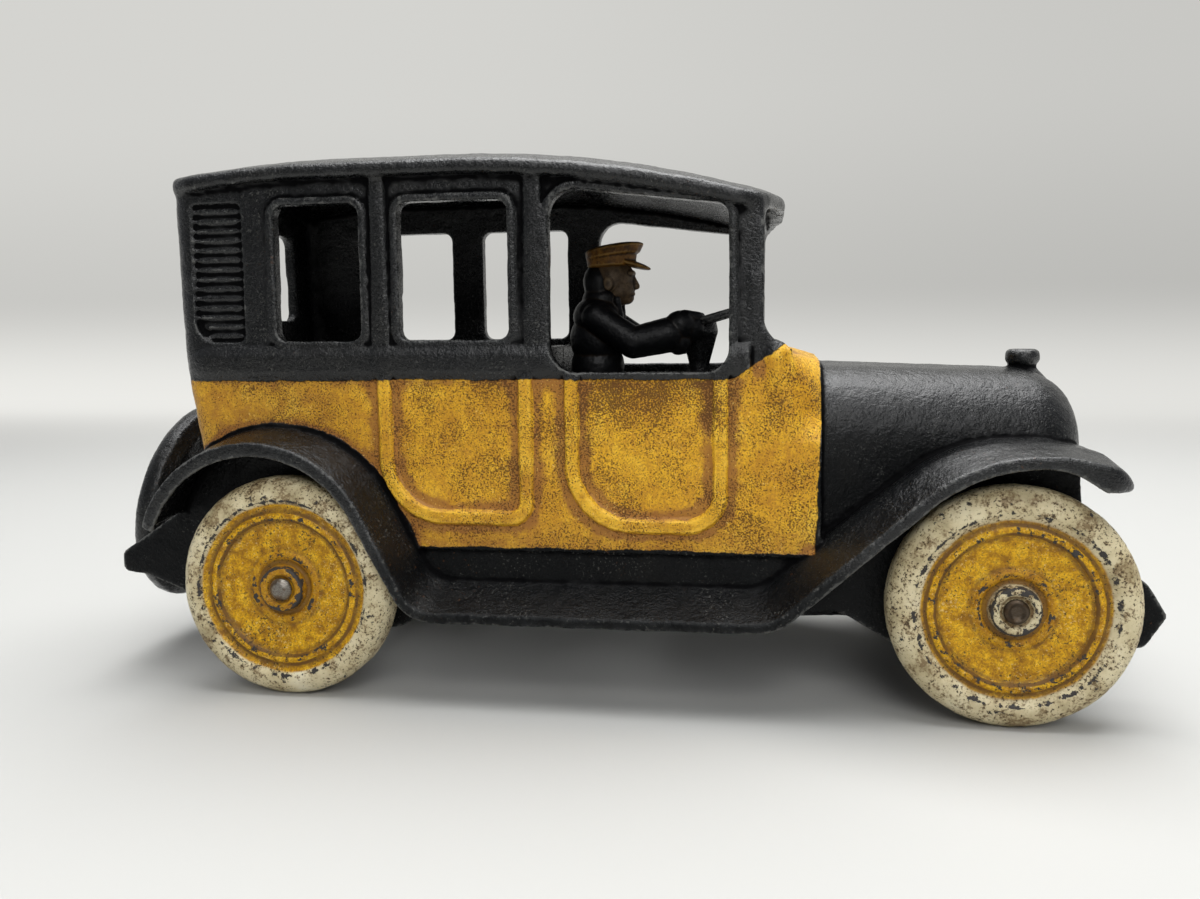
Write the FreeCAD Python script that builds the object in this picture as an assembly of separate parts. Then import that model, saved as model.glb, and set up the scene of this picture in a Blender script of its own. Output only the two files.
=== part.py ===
import FreeCAD, Part
import math
import os

from FreeCAD import Vector

# A painted cast-iron toy taxi sedan about 9 inches long.  Two thin-walled body castings meet on
# the centre plane (y = 0) and are riveted together.  Four one-piece cast wheels turn on two steel
# axles, a cast driver sits at a steering post, and a spare wheel is riveted on at the back.
# Millimetres.  +X is forward, +Z is up, and the car stands on its wheels on z = 0.
# Everything is drawn with x = 0 at the rear axle, then moved so that the origin is the middle
# of the whole car's footprint.  Each body half is drawn on the +Y side; the right one is mirrored.

# ---------------------------------------------------------------- running gear
WHEELBASE = 146.0
WHEEL_RADIUS = 23.3
TYRE_WIDTH = 8.3
TYRE_TUCK = 0.9              # the tyre's inner face lies this far inside the body side
TYRE_SHOULDER = 4.0          # rounding of the tyre's outer shoulder
TREAD_CHAMFER = 1.6          # at the tyre's inner edge
HUB_FLARE = 2.2              # the hub's inner end is this much wider than its face
DISC_RADIUS = 16.8           # the painted disc inside the tyre ring
DISC_SET_BACK = 1.2          # disc behind the tyre's face
DISC_DISH = 0.9              # how much deeper the disc lies at the hub
WEB_THICKNESS = 3.4
RING_PROUD = 0.6             # the raised rings on the disc
HUB_RADIUS = 5.0
HUB_PROUD = 0.4              # hub face beyond the tyre face
AXLE_RADIUS = 1.8
RUNNING_GAP = 0.08           # radial clearance of every shaft in its hole
SIDE_PLAY = 0.45             # endways clearance beside each wheel
HEAD_OVERHANG = 0.7          # peened axle head beyond the rod
HEAD_HEIGHT = 0.9
HEAD_GAP = 0.35              # radial clearance of the axle head in the hub's cup
REAR_HEAD_DOME = 0.5         # the rear heads stand proud of the hub
FRONT_HEAD_DIMPLE = 0.6      # the front heads were spread by a punch that left a dimple
BOSS_WALL = 3.2              # iron round the axle hole in the frame side

# ---------------------------------------------------------------- cabin
WALL = 2.6                   # thickness of the castings
BODY_HALF_WIDTH = 33.9
BODY_BOTTOM = 31.2
BELT_LOW = 66.6
BELT_HIGH = 73.4
BELT_PROUD = 1.1
BELT_REAR_PROUD = 0.15       # it dies out round the rear corners
BELT_CORNER = 8.0
CABIN_REAR = -26.6           # back panel under the roof
CABIN_FRONT = 99.1           # front face of the windscreen pillars
REAR_LEAN = 1.3              # the back panel leans in this much down to the belt
TAIL_TUCK = 7.5              # the panel below the belt tucks in this much to the sill
CABIN_CORNER = 5.5
TUMBLEHOME = 0.9             # the sides lean in this much from belt to roof

ROOF_TOP = 115.7
ROOF_CROWN = 5.0             # rise of the roof from its edge to the centre line
ROOF_EDGE = 3.0              # thickness of the overhanging edge
ROOF_EAVE = 1.7              # overhang beyond the body side
ROOF_REAR_OVERHANG = 0.5
ROOF_PEAK = 4.4              # overhang of the visor beyond the pillars, on the centre line
ROOF_PEAK_BOW = 4.2          # the visor's front edge falls back this much to the sides
ROOF_PEAK_FLAT = 12.0        # half width of its nearly straight middle
ROOF_PEAK_TURN = 40.0
ROOF_FRONT_CORNER = 9.0
ROOF_REAR_CORNER = 9.0
ROOF_BOW_RADIUS = 208.0      # side-view curve of the roof's crown
ROOF_EDGE_BOW_RADIUS = 240.0 # side-view curve of its edge, a little flatter
ROOF_BAYS = 12               # lengthwise divisions of the crowned skin
ROOF_FLAT_REAR = 9.0         # the roof line is level between these two places
ROOF_FLAT_FRONT = 35.0
UNDER_SKIN = 0.8             # the walls end this far below the roof's surface

# ---------------------------------------------------------------- windows (side view)
SIDE_WINDOW_LOW = 74.6
SIDE_HEADER = 13.0           # from the roof's top down to the side windows
QUARTER_WINDOW = (-1.9, 16.6)
REAR_DOOR_WINDOW = (25.0, 48.0)
FRONT_WINDOW = (56.4, 92.3)
FRONT_WINDOW_LOW = 67.9
FRONT_HEADER_REAR = 10.7
FRONT_HEADER_FRONT = 15.3
WINDOW_CORNER = 2.2
WINDOW_RIM = 1.5             # width of the raised rim round each window
RIM_PROUD = 0.3
BACK_WINDOW_HALF_WIDTH = 20.4
BACK_WINDOW_LOW = 79.8
BACK_HEADER = 14.3
PILLAR_WIDTH = 5.3           # windscreen pillar, seen from the front
SCREEN_LOW = 74.0
SCREEN_HEADER = 16.1
LOUVRE_PANEL = (-20.6, -9.4)
LOUVRE_COUNT = 14
LOUVRE_DEPTH = 1.0
LOUVRE_CORNER = 5.0          # the panel's lower rear corner, which follows the body's corner
LOUVRE_THICKNESS = 0.62      # share of the pitch that a slat takes at its root
LOUVRE_MARGIN = 0.7

# ---------------------------------------------------------------- doors
DOOR_BEAD = 1.3              # half width of the raised door beads
BEAD_PROUD = 1.0
REAR_DOOR = (21.4, 51.2)
FRONT_DOOR = (60.8, 90.8)
REAR_DOOR_FOOT = 37.9
FRONT_DOOR_FOOT = 36.8
DOOR_HINGE_CORNER = 12.5     # rounding of the doors' lower rear corners
POST_BEADS = ((20.8, 1.6), (53.2, 1.7))   # place and half width of the beads above the belt

# ---------------------------------------------------------------- bonnet and nose
HOOD_START = 110.5
HOOD_STEP = 4.3              # the bonnet is this much narrower than the body, each side
HOOD_START_TOP = 69.4
HOOD_END_HALF_WIDTH = 20.2
HOOD_END_TOP = 66.9
HOOD_BOTTOM = 18.0
HOOD_SHOULDER = 14.0
HOOD_END_SHOULDER = 16.5
HOOD_CREST = 1.2             # rise of the bonnet's top from its shoulders to the centre
NOSE_OVERHANG = 19.9         # foot of the radiator beyond the front axle
NOSE_LEAN = 3.1              # the radiator leans back this much up to the bonnet's top
NOSE_RADIUS = 12.0           # rounding of the radiator shell's front edge
GRILLE_HALF_WIDTH = 13.0
GRILLE_LOW = 24.0
GRILLE_HIGH = 56.0
GRILLE_CORNER = 7.0
GRILLE_DEPTH = 0.9
GRILLE_BARS = 5              # upright bars in each half
BAR_WIDTH = 0.9
BAR_SET_BACK = 0.2           # bars behind the shell's surface
COWL_TOP = 75.0              # top of the scuttle under the windscreen
COWL_END_TOP = 70.6
COWL_END_HALF_WIDTH = 31.0
COWL_TURN_X = 104.6          # the scuttle's sides turn in from here to the bonnet
COWL_FADE = (54.0, 60.0)     # below this height they stay flush with the body
PILLAR_FLARE = 6.5           # radius of the pillar's sweep into the scuttle
VISOR_FLARE = 4.0            # radius of its sweep into the roof's front edge
BOSS_X = 101.4               # the tapering boss under the windscreen pillar
BOSS_FOOT_Z = 56.0
BOSS_HEAD_Z = 71.0
BOSS_FOOT_RADIUS = 1.6
BOSS_HEAD_RADIUS = 3.0
BOSS_PROUD = 1.0
CAP_SETBACK = 10.9           # filler cap behind the radiator
CAP_RADIUS = 3.6
CAP_HEIGHT = 3.4
CAP_ROUND = 1.3
CAP_NECK_RADIUS = 2.9
CAP_COLLAR = 1.8             # spread of the collar round the neck
CAP_NECK_HEIGHT = 1.2

# ---------------------------------------------------------------- wings and running boards
WING_BEYOND_TYRE = 1.8
WING_SHEET = 1.9
WING_LIP = 2.8               # depth of the lip round the rear wing
FRONT_LIP = 2.3
TIP_LIP = 5.0                # and at the drooping tip of the front wing
TIP_END = 1.5
LIP_WIDTH = 1.2
REAR_WING_X = -5.2           # middle of the rear wing's arch
REAR_WING_OVER_TYRE = 7.4    # its outer edge above the tyre
FRONT_WING_OVER_TYRE = 5.9
REAR_ARCH_MARGIN = 3.1       # the arch's radius beyond the tyre's
REAR_WING_TAIL_SLOPE = 68.0  # degrees, of the tail of the arch
WING_LEG_SLOPE = 63.0        # degrees, of the wing's drop to the running board
BOARD_EDGE_Z = 19.5
BOARD_ROOT_Z = 24.8
FRONT_RISE_OFF_TYRE = 3.8531  # from the tyre to the wing's rise behind it
FRONT_WING_SLOPE = 42.0
CREST_AHEAD = 8.4            # end of the front wing's level top, ahead of the front axle
TIP_KNEE_AHEAD = 17.4
TIP_AHEAD = 20.8
TIP_KNEE_DROP = 2.1
TIP_DROP = 5.9
BOARD_REAR_CORNER = 7.0      # side-view curves where the board meets the wings
BOARD_FRONT_CORNER = 9.0
FRONT_RISE_RADIUS = 32.0     # side-view curves of the front wing
CREST_RADIUS = 15.0
TIP_KNEE_RADIUS = 4.0
ROOT_RISE = 3.0              # the rear arch's root line lies this much above its outer edge
FRONT_ROOT_RISE = 1.7
TAIL_CORNER = 5.0
TIP_CORNER = 7.0

# ---------------------------------------------------------------- frame sides
BOSS_REACH = 3.4             # frame side to the tyre's inner face
FRAME_LOW_Z = 19.0
AXLE_DROP = 12.5             # underside of the frame at the axles
WELL_GAP = 0.8               # clearance of the wings round the tyre
FRAME_CORNER = 7.0           # side-view curves of the frame's lower edge
HORN_AHEAD = 30.6
HORN_DEPTH = 6.4             # half depth of the dumb iron behind its point
HORN_Z = 20.2
TAIL_HORN_X = -43.6
TAIL_HORN_Z = 25.6

# ---------------------------------------------------------------- driver, post, seat
SEAT_Z = 64.0
SEAT_THICKNESS = 3.0
SEAT_REAR = 50.0
SEAT_FRONT = 68.0
SEAT_BACK_TOP = 73.0
PEG_RADIUS = 2.6
PEG_GAP = 0.2                # the driver's peg is loose in the bench, and peened below
PEG_HEAD = 0.9
PRESS = 0.02                 # radial interference of the rivets and the steering post
PEG_X = 61.0
POST_BAR_LENGTH = 10.0
POST_X = 84.4
POST_TOP_Z = 79.0
POST_RADIUS = 2.4
POST_KNEE = 5.0              # the post is plain up to this height above the bar
POST_HEAD_RADIUS = 4.3
STEERING_X = 87.6
SPOKE_COUNT = 4
SPOKE_HOLE_REACH = 0.66      # share of the rim's inner radius
SPOKE_HOLE_SIZE = 0.28
STEERING_RADIUS = 5.2
STEERING_RIM = 0.95
STEERING_TILT = 16.0         # degrees, the front of the rim is the high side
SHOULDER_HALF_WIDTH = 7.6
HIP_HALF_WIDTH = 6.0
SHOULDER = (0.8, 15.2)       # the driver's joints: ahead of the peg, above the bench
ELBOW = (9.2, 9.4)
WRIST = (18.0, 11.6)
WRIST_Y = 5.6
HAND = (19.6, 14.0)
HAND_Y = 6.6
HEAD_CENTRE = (4.2, 24.0)
DRIVER_HEAD_RADIUS = 5.0
NECK_RADIUS = 3.2
CAP_BAND_RADIUS = 5.3
CAP_BAND_HEIGHT = 2.6
CAP_FLARE = 0.7              # the cap's crown spreads this much over the band
CAP_BRIM_THICKNESS = 1.2
ARM_RADIUS = 3.3
ELBOW_RADIUS = 3.5
WRIST_RADIUS = 3.3
HAND_RADIUS = 2.5

# ---------------------------------------------------------------- spare wheel
SPARE_RADIUS = 24.2
SPARE_GAP = 0.3
SPARE_WIDTH = 7.2
SPARE_X = -41.4
SPARE_Z = 35.2
SPARE_LEAN = 11.5            # degrees, the top leans forward
SPARE_BOSS_RADIUS = 6.0
SPARE_BOSS_LENGTH = 13.0
SPARE_STUD_RADIUS = 2.0
SPARE_TYRE_HEIGHT = 6.2      # radial height of its tyre ring
SPARE_SHOULDER = 3.4

# ---------------------------------------------------------------- body rivets
RIVET_RADIUS = 1.5
RIVET_LUG = 4.5              # half size of each rivet lug
RIVET_LUG_THICKNESS = 3.0
REAR_RIVET = (9.0, 6.0)      # ahead of the tail's foot, above the body's bottom edge
MIDDLE_RIVET = (-5.0, 27.0)  # from the start of the bonnet, above the body's bottom edge
FRONT_RIVET = (-14.0, -12.0) # from the radiator, from the bonnet's top
RIVET_HEAD_RADIUS = 2.4
RIVET_HEAD_HEIGHT = 1.0

# ---------------------------------------------------------------- what follows from these
WHEEL_INNER_Y = BODY_HALF_WIDTH - TYRE_TUCK
FRAME_OUTER_Y = WHEEL_INNER_Y - BOSS_REACH
FRAME_INNER_Y = FRAME_OUTER_Y - WALL
WING_HALF_WIDTH = WHEEL_INNER_Y + TYRE_WIDTH + WING_BEYOND_TYRE
HEAD_RADIUS = AXLE_RADIUS + HEAD_OVERHANG
BOSS_RADIUS = AXLE_RADIUS + BOSS_WALL
ROOF_HALF_WIDTH = BODY_HALF_WIDTH + ROOF_EAVE
ROOF_REAR = CABIN_REAR - ROOF_REAR_OVERHANG
ROOF_FRONT = CABIN_FRONT + ROOF_PEAK
SIDE_WINDOW_HIGH = ROOF_TOP - SIDE_HEADER
SCREEN_HALF_WIDTH = BODY_HALF_WIDTH - PILLAR_WIDTH
HOOD_START_HALF_WIDTH = BODY_HALF_WIDTH - HOOD_STEP
NOSE_FRONT = WHEELBASE + NOSE_OVERHANG
CAP_X = NOSE_FRONT - CAP_SETBACK
REAR_WING_TOP = 2 * WHEEL_RADIUS + REAR_WING_OVER_TYRE
REAR_WING_RADIUS = WHEEL_RADIUS + REAR_ARCH_MARGIN
FRONT_WING_TOP = 2 * WHEEL_RADIUS + FRONT_WING_OVER_TYRE
FRONT_WING_ANGLE = math.radians(FRONT_WING_SLOPE)
FRONT_WING_FOOT_X = WHEELBASE - (WHEEL_RADIUS + FRONT_RISE_OFF_TYRE + (WHEEL_RADIUS - BOARD_EDGE_Z)
                                 * math.cos(FRONT_WING_ANGLE)) / math.sin(FRONT_WING_ANGLE)
FRONT_WING_TIP_X = WHEELBASE + TIP_AHEAD
HORN_X = WHEELBASE + HORN_AHEAD
SEAT_UNDERSIDE = SEAT_Z - SEAT_THICKNESS
TINY = 1e-6
FAR = 400.0


# ================================================================ drawing helpers
def side(y):
    """Side-view points (x, z) at width y."""
    return lambda p: Vector(p.x, y, p.y)


def plan(z):
    """Plan-view points (x, y) at height z."""
    return lambda p: Vector(p.x, p.y, z)


def across(x):
    """Cross-section points (y, z) at station x."""
    return lambda p: Vector(x, p.x, p.y)


def corner_edges(corners, place, closed=True):
    """Lines and arcs through corners (a, b, radius), placed in space by place."""
    count = len(corners)
    points = [Vector(a, b, 0) for a, b, radius in corners]
    cuts = []
    for index, (a, b, radius) in enumerate(corners):
        here = points[index]
        is_end = not closed and index in (0, count - 1)
        if is_end or radius == 0:
            cuts.append((here, None, here))
            continue
        back = (points[index - 1] - here).normalize()
        ahead = (points[(index + 1) % count] - here).normalize()
        half = back.getAngle(ahead) / 2
        reach = radius / math.tan(half)
        centre = here + (back + ahead).normalize() * (radius / math.sin(half))
        middle = centre + (here - centre).normalize() * radius
        cuts.append((here + back * reach, middle, here + ahead * reach))
    edges = []
    for index, (start, middle, end) in enumerate(cuts):
        if middle is not None:
            edges.append(Part.Arc(place(start), place(middle), place(end)).toShape())
        if index < count - 1 or closed:
            following = cuts[(index + 1) % count][0]
            if end.distanceToPoint(following) > TINY:
                edges.append(Part.LineSegment(place(end), place(following)).toShape())
    return edges


def outline(corners, place):
    return Part.Wire(corner_edges(corners, place))


def offset_corners(corners, distance, closed=True):
    """Moves a corner outline sideways, to the left of its direction of travel."""
    count = len(corners)
    result = []
    for index, (a, b, radius) in enumerate(corners):
        before = corners[index - 1]
        after = corners[(index + 1) % count]
        into = Vector(a - before[0], b - before[1], 0).normalize()
        out = Vector(after[0] - a, after[1] - b, 0).normalize()
        if not closed and index == 0:
            into = out
        if not closed and index == count - 1:
            out = into
        left_in = Vector(-into.y, into.x, 0)
        left_out = Vector(-out.y, out.x, 0)
        shift = (left_in + left_out) * (distance / (1 + left_in.dot(left_out)))
        turn = into.x * out.y - into.y * out.x
        if radius:
            radius = max(radius - distance * math.copysign(1, turn), 0.2)
        result.append((a + shift.x, b + shift.y, radius))
    return result


def side_prism(corners, y_low, y_high):
    return Part.Face(outline(corners, side(y_low))).extrude(Vector(0, y_high - y_low, 0))


def plan_prism(corners, z_low, z_high):
    return Part.Face(outline(corners, plan(z_low))).extrude(Vector(0, 0, z_high - z_low))


def cross_prism(corners, x_low, x_high):
    return Part.Face(outline(corners, across(x_low))).extrude(Vector(x_high - x_low, 0, 0))


def box(x_low, x_high, y_low, y_high, z_low, z_high):
    corner = Vector(x_low, y_low, z_low)
    return Part.makeBox(x_high - x_low, y_high - y_low, z_high - z_low, corner)


def rounded(a_low, b_low, a_high, b_high, radius):
    """Corners of a rounded rectangle, anticlockwise."""
    return [(a_low, b_low, radius), (a_high, b_low, radius),
            (a_high, b_high, radius), (a_low, b_high, radius)]


def across_cylinder(x, z, radius, y_low, y_high):
    return Part.makeCylinder(radius, y_high - y_low, Vector(x, y_low, z), Vector(0, 1, 0))


def turned(profile, x, z):
    """Solid of revolution about the line through (x, z) along Y, from (radius, y) corners."""
    face = Part.Face(outline(profile, lambda p: Vector(x + p.x, p.y, z)))
    return face.revolve(Vector(x, 0, z), Vector(0, 1, 0), 360)


def upright_turned(profile, x):
    """Solid of revolution about the upright line through (x, 0), from (radius, z) corners."""
    face = Part.Face(outline(profile, lambda p: Vector(x + p.x, 0, p.y)))
    return face.revolve(Vector(x, 0, 0), Vector(0, 0, 1), 360)


# ================================================================ cabin
def cabin_plan(rear, front, half_width, corner, z):
    corners = [(front, 0, 0), (rear, 0, 0), (rear, half_width, corner), (front, half_width, 0)]
    return outline(corners, plan(z))


def cabin_block(inset, low):
    """The cabin's outer form, or its hollow when inset is the wall, up past the roof."""
    front = CABIN_FRONT - inset
    corner = CABIN_CORNER - inset
    wide = BODY_HALF_WIDTH - inset
    levels = [(low, TAIL_TUCK, 0), (BELT_LOW, REAR_LEAN + 0.6, 0),
              (BELT_HIGH, REAR_LEAN, 0), (ROOF_TOP + WALL, 0, TUMBLEHOME)]
    wires = [cabin_plan(CABIN_REAR + tuck + inset, front, wide - lean, corner, z)
             for z, tuck, lean in levels]
    return Part.makeLoft(wires, True, True)


def roof_drop(x, radius):
    """How far a roof line of this radius has fallen at x below its level stretch."""
    beyond = max(x - ROOF_FLAT_FRONT, ROOF_FLAT_REAR - x, 0)
    return radius - math.sqrt(radius ** 2 - beyond ** 2)


def crown_block(lowered, bottom):
    """Everything under the roof's crowned skin, lowered by a distance."""
    half_width = ROOF_HALF_WIDTH + 2
    first = ROOF_REAR - 4
    step = (ROOF_FRONT + 4 - first) / ROOF_BAYS
    sections = []
    for index in range(ROOF_BAYS + 1):
        x = first + step * index
        top = ROOF_TOP - roof_drop(x, ROOF_BOW_RADIUS) - lowered
        crown = ROOF_CROWN - roof_drop(x, ROOF_BOW_RADIUS) + roof_drop(x, ROOF_EDGE_BOW_RADIUS)
        rise = crown * (half_width / ROOF_HALF_WIDTH) ** 2
        radius = (rise ** 2 + half_width ** 2) / (2 * rise)
        half_angle = math.asin(half_width / radius) / 2
        mid = Vector(radius * math.sin(half_angle), radius * (1 - math.cos(half_angle)), 0)
        edges = [Part.LineSegment(Vector(x, 0, bottom), Vector(x, half_width, bottom)).toShape(),
                 Part.LineSegment(Vector(x, half_width, bottom),
                                  Vector(x, half_width, top - rise)).toShape(),
                 Part.Arc(Vector(x, half_width, top - rise), Vector(x, mid.x, top - mid.y),
                          Vector(x, 0, top)).toShape(),
                 Part.LineSegment(Vector(x, 0, top), Vector(x, 0, bottom)).toShape()]
        sections.append(Part.Wire(edges))
    return Part.makeLoft(sections, True, True)


def roof():
    """The crowned roof skin, overhanging all round and bowed forward into a visor."""
    corners = [(ROOF_REAR, 0, 0), (ROOF_FRONT, 0, 0), (ROOF_FRONT, ROOF_PEAK_FLAT, ROOF_PEAK_TURN),
               (ROOF_FRONT - ROOF_PEAK_BOW, ROOF_HALF_WIDTH, ROOF_FRONT_CORNER),
               (ROOF_REAR, ROOF_HALF_WIDTH, ROOF_REAR_CORNER)]
    slab = plan_prism(corners, ROOF_TOP / 2, ROOF_TOP + ROOF_EDGE)
    return slab.common(crown_block(0, 0)).cut(crown_block(ROOF_EDGE, 0))


def belt():
    """The rounded moulding along the waist, which dies out round the rear corners."""
    levels = [(BELT_LOW, 0.2), (BELT_LOW + 1.6, 0.9), (BELT_HIGH - 1.8, 1.0), (BELT_HIGH, 0.3)]
    wires = []
    for z, share in levels:
        grow = BELT_PROUD * share
        wires.append(cabin_plan(CABIN_REAR + REAR_LEAN - BELT_REAR_PROUD, CABIN_FRONT - WALL,
                                BODY_HALF_WIDTH + grow, BELT_CORNER, z))
    return Part.makeLoft(wires, True, True)


# ================================================================ bonnet
def arch_wire(x, half_width, top, shoulder, bottom):
    corners = [(0, bottom, 0), (half_width, bottom, 0), (half_width, top - HOOD_CREST, shoulder),
               (0, top, 0)]
    return outline(corners, across(x))


def hood_block(inset):
    """The bonnet and nose, or their form a distance inside."""
    first = HOOD_START - 4
    last = NOSE_FRONT + 6
    wires = []
    for share in (0, 0.5, 1.0):
        half_width = HOOD_START_HALF_WIDTH + share * (HOOD_END_HALF_WIDTH - HOOD_START_HALF_WIDTH)
        top = HOOD_START_TOP + share * (HOOD_END_TOP - HOOD_START_TOP)
        shoulder = HOOD_SHOULDER + share * (HOOD_END_SHOULDER - HOOD_SHOULDER)
        wires.append(arch_wire(first + share * (last - first), half_width - inset, top - inset,
                               shoulder - inset, HOOD_BOTTOM - 2))
    rear = HOOD_START - 6
    front = NOSE_FRONT - inset
    nose_side = [(rear, HOOD_BOTTOM, 0), (front, HOOD_BOTTOM, 0), (front - NOSE_LEAN, HOOD_START_TOP, 0),
                 (rear, HOOD_START_TOP, 0)]
    arch = Part.makeLoft(wires, True, True).common(side_prism(nose_side, -1, FAR))
    rim = [edge for edge in arch.Edges if edge.BoundBox.XMin > front - NOSE_LEAN - 0.1
           and edge.BoundBox.YMax > 0.1 and edge.BoundBox.ZMax > HOOD_BOTTOM + 0.1
           and edge.BoundBox.XMin > rear + 10]
    return arch.makeFillet(NOSE_RADIUS - inset, rim)


def grille():
    """Pocket for the radiator core, and the upright bars that stand in it."""
    def upright(y_low, y_high, radius):
        corners = [(y_low, GRILLE_LOW, 0), (y_high, GRILLE_LOW, 0), (y_high, GRILLE_HIGH, radius),
                   (y_low, GRILLE_HIGH, 0)]
        return cross_prism(corners, NOSE_FRONT - NOSE_RADIUS, NOSE_FRONT + 2)

    pocket = upright(-1, GRILLE_HALF_WIDTH, GRILLE_CORNER).cut(hood_block(GRILLE_DEPTH))
    bar_front = hood_block(BAR_SET_BACK)
    bar_foot = hood_block(GRILLE_DEPTH + 0.4)
    pitch = GRILLE_HALF_WIDTH / (GRILLE_BARS + 0.5)
    bars = []
    for index in range(GRILLE_BARS):
        middle = pitch * (index + 0.5)
        bar = upright(middle - BAR_WIDTH / 2, middle + BAR_WIDTH / 2, 0)
        bars.append(bar.common(bar_front).cut(bar_foot))
    return pocket, bars


def cowl_section(x, high_width, top, shoulder):
    fade_low, fade_high = COWL_FADE
    corners = [(0, BODY_BOTTOM, 0), (BODY_HALF_WIDTH, BODY_BOTTOM, 0), (BODY_HALF_WIDTH, fade_low, 0),
               (high_width, fade_high, 0), (high_width, top - HOOD_CREST, shoulder), (0, top, 0)]
    return outline(corners, across(x))


def cowl_block():
    """The scuttle, with the windscreen pillar's sweep into it."""
    inside = CABIN_FRONT - WALL
    profile = [(inside, BODY_BOTTOM, 0), (HOOD_START, BODY_BOTTOM, 0), (HOOD_START, COWL_END_TOP, 0),
               (CABIN_FRONT, COWL_TOP - 1.0, PILLAR_FLARE), (CABIN_FRONT, COWL_TOP + 12, 0),
               (inside, COWL_TOP + 12, 0)]
    form = side_prism(profile, 0, BODY_HALF_WIDTH)
    turn_top = COWL_END_TOP + (COWL_TOP - 1.0 - COWL_END_TOP) * 0.52
    turning = Part.makeLoft([cowl_section(COWL_TURN_X, BODY_HALF_WIDTH - 0.1, turn_top, 2.0),
                             cowl_section(HOOD_START, COWL_END_HALF_WIDTH, COWL_END_TOP, 13.0)],
                            True, True)
    rear = form.common(box(inside, COWL_TURN_X, -1, FAR, 0, FAR))
    boss_y = BODY_HALF_WIDTH + BOSS_PROUD - BOSS_HEAD_RADIUS
    taper = Part.makeCone(BOSS_FOOT_RADIUS, BOSS_HEAD_RADIUS, BOSS_HEAD_Z - BOSS_FOOT_Z,
                          Vector(BOSS_X, boss_y, BOSS_FOOT_Z))
    head = Part.makeSphere(BOSS_HEAD_RADIUS, Vector(BOSS_X, boss_y, BOSS_HEAD_Z))
    return rear.fuse([form.common(turning), taper, head])


def cowl_room():
    """The hollow under the scuttle."""
    rear = arch_wire(CABIN_FRONT - 5, BODY_HALF_WIDTH - WALL, COWL_TOP - WALL - 1, 4.0, BODY_BOTTOM - 1)
    front = arch_wire(HOOD_START, HOOD_START_HALF_WIDTH - WALL, COWL_END_TOP - WALL, 11.0,
                      BODY_BOTTOM - 1)
    return Part.makeLoft([rear, front], True, True)


def radiator_cap():
    seat = HOOD_END_TOP - 2.4
    neck_top = HOOD_END_TOP + CAP_NECK_HEIGHT
    neck = Part.makeCylinder(CAP_NECK_RADIUS, neck_top - seat, Vector(CAP_X, 0, seat))
    collar = Part.makeCone(CAP_RADIUS + CAP_COLLAR, CAP_NECK_RADIUS, 2.6,
                           Vector(CAP_X, 0, HOOD_END_TOP - 2.2))
    knob = Part.makeCylinder(CAP_RADIUS, CAP_HEIGHT, Vector(CAP_X, 0, neck_top))
    rim = [edge for edge in knob.Edges if edge.Length > 6 * CAP_RADIUS]
    knob = knob.makeFillet(CAP_ROUND, rim)
    return neck.fuse([collar, knob])


def visor_flare():
    """The sweep of the windscreen pillar into the roof above."""
    inside = CABIN_FRONT - WALL
    out = ROOF_PEAK - 2.4
    edge_z = ROOF_TOP - ROOF_CROWN - ROOF_EDGE - roof_drop(CABIN_FRONT, ROOF_EDGE_BOW_RADIUS)
    corners = [(inside, edge_z - 8, 0), (CABIN_FRONT, edge_z - 8, 0), (CABIN_FRONT, edge_z, VISOR_FLARE),
               (CABIN_FRONT + out, edge_z, 0), (CABIN_FRONT + out, edge_z + 2, 0),
               (inside, edge_z + 3, 0)]
    outside = BODY_HALF_WIDTH - TUMBLEHOME / 2
    flare = side_prism(corners, SCREEN_HALF_WIDTH, outside)
    reach = [(inside, 0, 0), (ROOF_FRONT - 0.6, 0, 0), (ROOF_FRONT - ROOF_PEAK_BOW - 0.6, outside, 7),
             (inside, outside, 0)]
    return flare.common(plan_prism(reach, 0, FAR))


# ================================================================ windows, louvres and doors
def front_window_corners():
    rear, front = FRONT_WINDOW
    return [(rear, FRONT_WINDOW_LOW, 5.5), (front, FRONT_WINDOW_LOW, 4.5),
            (front, ROOF_TOP - FRONT_HEADER_FRONT, 2.5), (rear, ROOF_TOP - FRONT_HEADER_REAR, 5.5)]


def side_windows():
    plain = [rounded(rear, SIDE_WINDOW_LOW, front, SIDE_WINDOW_HIGH, WINDOW_CORNER)
             for rear, front in (QUARTER_WINDOW, REAR_DOOR_WINDOW)]
    return plain + [front_window_corners()]


def louvre_panel():
    """Pocket for the louvres, and the slats that stand in it."""
    rear, front = LOUVRE_PANEL
    face = BODY_HALF_WIDTH - TUMBLEHOME / 2
    corners = rounded(rear, SIDE_WINDOW_LOW, front, SIDE_WINDOW_HIGH + 1, 1.6)
    corners[0] = (rear, SIDE_WINDOW_LOW, LOUVRE_CORNER)
    pocket = side_prism(corners, face - LOUVRE_DEPTH, face + 5)
    pitch = (SIDE_WINDOW_HIGH - SIDE_WINDOW_LOW) / LOUVRE_COUNT
    slats = []
    for index in range(LOUVRE_COUNT):
        z = SIDE_WINDOW_LOW + 0.9 + pitch * index
        start = rear + (LOUVRE_CORNER / 2 if index < 2 else LOUVRE_MARGIN)
        section = [(face - LOUVRE_DEPTH - 0.4, z, 0), (face - 0.25, z + 0.25, 0),
                   (face - LOUVRE_DEPTH - 0.4, z + pitch * LOUVRE_THICKNESS, 0)]
        slats.append(cross_prism(section, start, front - LOUVRE_MARGIN))
    return pocket, slats


def bead_ring(corners, proud):
    """A raised bead that follows a closed side-view outline."""
    base = BODY_HALF_WIDTH - WALL / 2
    wide = side_prism(offset_corners(corners, -DOOR_BEAD), base, BODY_HALF_WIDTH + proud)
    return wide.cut(side_prism(offset_corners(corners, DOOR_BEAD), base - 1, FAR))


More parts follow.
